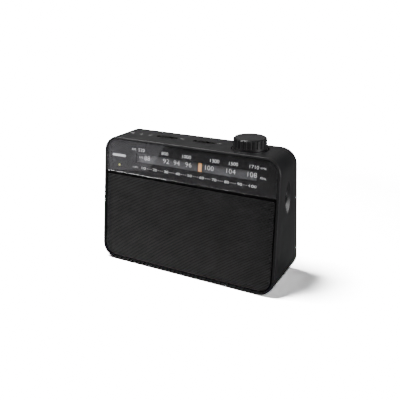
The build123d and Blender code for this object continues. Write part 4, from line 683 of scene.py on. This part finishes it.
paper_black = cone_paper("cone_paper", (0.035, 0.033, 0.030), (0.018, 0.017, 0.016))
finish_nodes(paper_black, "speaker_cone", "dust_cap")
rubber = moulded_plastic(
    "black_rubber", (0.018, 0.018, 0.018), (0.028, 0.028, 0.027), 0.75, 0.6 * mm, 0.05 * mm
)
finish_nodes(rubber, "speaker_surround", "rubber_feet")

# ---------------------------------------------------------------- batteries
# Two cylindrical cells lie end to end in the tray, in printed sleeves: a dark body
# and a copper-coloured shoulder at the cap end, with bare steel ends.
steel_end = (0.55, 0.55, 0.54, 1)
dark_body = (0.012, 0.012, 0.014, 1)
copper_shoulder = (0.52, 0.25, 0.10, 1)
body_from = 0.02
shoulder_from = 0.70
cap_end_from = 0.955
sleeve = bpy.data.materials.new("cell_sleeve")
sleeve.use_nodes = True
sleeve_tree = sleeve.node_tree
sleeve_shader = sleeve_tree.nodes["Principled BSDF"]
sleeve_place = add_node(sleeve_tree, "ShaderNodeTexCoord", (-1200, 0))
sleeve_split = add_node(sleeve_tree, "ShaderNodeSeparateXYZ", (-1000, 0))
cells_low, cells_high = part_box("batteries")
cell_pitch = (cells_high.x - cells_low.x) / 2
sleeve_start = add_node(sleeve_tree, "ShaderNodeMath", (-900, 150), operation="SUBTRACT")
sleeve_start.inputs[1].default_value = cells_low.x
sleeve_cell = add_node(sleeve_tree, "ShaderNodeMath", (-800, 0), operation="MODULO")
sleeve_cell.inputs[1].default_value = cell_pitch
sleeve_where = add_node(sleeve_tree, "ShaderNodeMapRange", (-600, 0))
sleeve_where.inputs["From Max"].default_value = cell_pitch
sleeve_bands = add_node(sleeve_tree, "ShaderNodeValToRGB", (-300, 100))
sleeve_bands.color_ramp.interpolation = "CONSTANT"
sleeve_bands.color_ramp.elements[0].color = steel_end
sleeve_bands.color_ramp.elements[1].position = body_from
sleeve_bands.color_ramp.elements[1].color = dark_body
sleeve_bands.color_ramp.elements.new(shoulder_from).color = copper_shoulder
sleeve_bands.color_ramp.elements.new(cap_end_from).color = steel_end
sleeve_rub = add_node(sleeve_tree, "ShaderNodeTexNoise", (-800, -300))
sleeve_rub.inputs["Scale"].default_value = 220
sleeve_rub.inputs["Detail"].default_value = 6
sleeve_shine = add_node(sleeve_tree, "ShaderNodeMapRange", (-500, -300))
sleeve_shine.inputs["To Min"].default_value = 0.18
sleeve_shine.inputs["To Max"].default_value = 0.42
sleeve_tree.links.new(sleeve_place.outputs["Object"], sleeve_split.inputs[0])
sleeve_tree.links.new(sleeve_split.outputs["X"], sleeve_start.inputs[0])
sleeve_tree.links.new(sleeve_start.outputs[0], sleeve_cell.inputs[0])
sleeve_tree.links.new(sleeve_cell.outputs[0], sleeve_where.inputs["Value"])
sleeve_tree.links.new(sleeve_where.outputs["Result"], sleeve_bands.inputs["Fac"])
sleeve_tree.links.new(sleeve_bands.outputs["Color"], sleeve_shader.inputs["Base Color"])
sleeve_tree.links.new(sleeve_place.outputs["Object"], sleeve_rub.inputs["Vector"])
sleeve_tree.links.new(sleeve_rub.outputs["Fac"], sleeve_shine.inputs["Value"])
sleeve_tree.links.new(sleeve_shine.outputs["Result"], sleeve_shader.inputs["Roughness"])
finish_nodes(sleeve, "batteries")

# ---------------------------------------------------------------- circuit board
# Brown phenolic laminate screwed to the chassis, with its soldered parts: blue
# capacitor sleeves, a black epoxy chip, jack and volume control, a cream tuning
# gang with a white acetal gear, and a grey ferrite rod in clips.
for name, colour, lighter, roughness, grain_size, grain_depth, pieces in (
    ("laminate", (0.20, 0.10, 0.035), (0.27, 0.15, 0.06), 0.45, 0.8, 0.02,
     ["circuit_board"]),
    ("sleeve_blue", (0.02, 0.05, 0.16), (0.03, 0.07, 0.20), 0.3, 0.6, 0.01,
     ["power_capacitors"]),
    ("black_epoxy", (0.012, 0.012, 0.012), (0.020, 0.020, 0.020), 0.5, 0.3, 0.02,
     ["radio_chip", "headphone_jack", "volume_pot"]),
    ("cream_polythene", (0.55, 0.50, 0.38), (0.62, 0.57, 0.45), 0.4, 0.6, 0.01,
     ["tuning_gang"]),
    ("white_acetal", (0.68, 0.68, 0.65), (0.76, 0.76, 0.73), 0.4, 0.5, 0.01,
     ["gang_gear"]),
    ("grey_ferrite", (0.035, 0.035, 0.036), (0.055, 0.055, 0.056), 0.6, 0.4, 0.03,
     ["ferrite_rod"]),
):
    board_finish = moulded_plastic(
        name, colour, lighter, roughness, grain_size * mm, grain_depth * mm
    )
    finish_nodes(board_finish, *pieces)
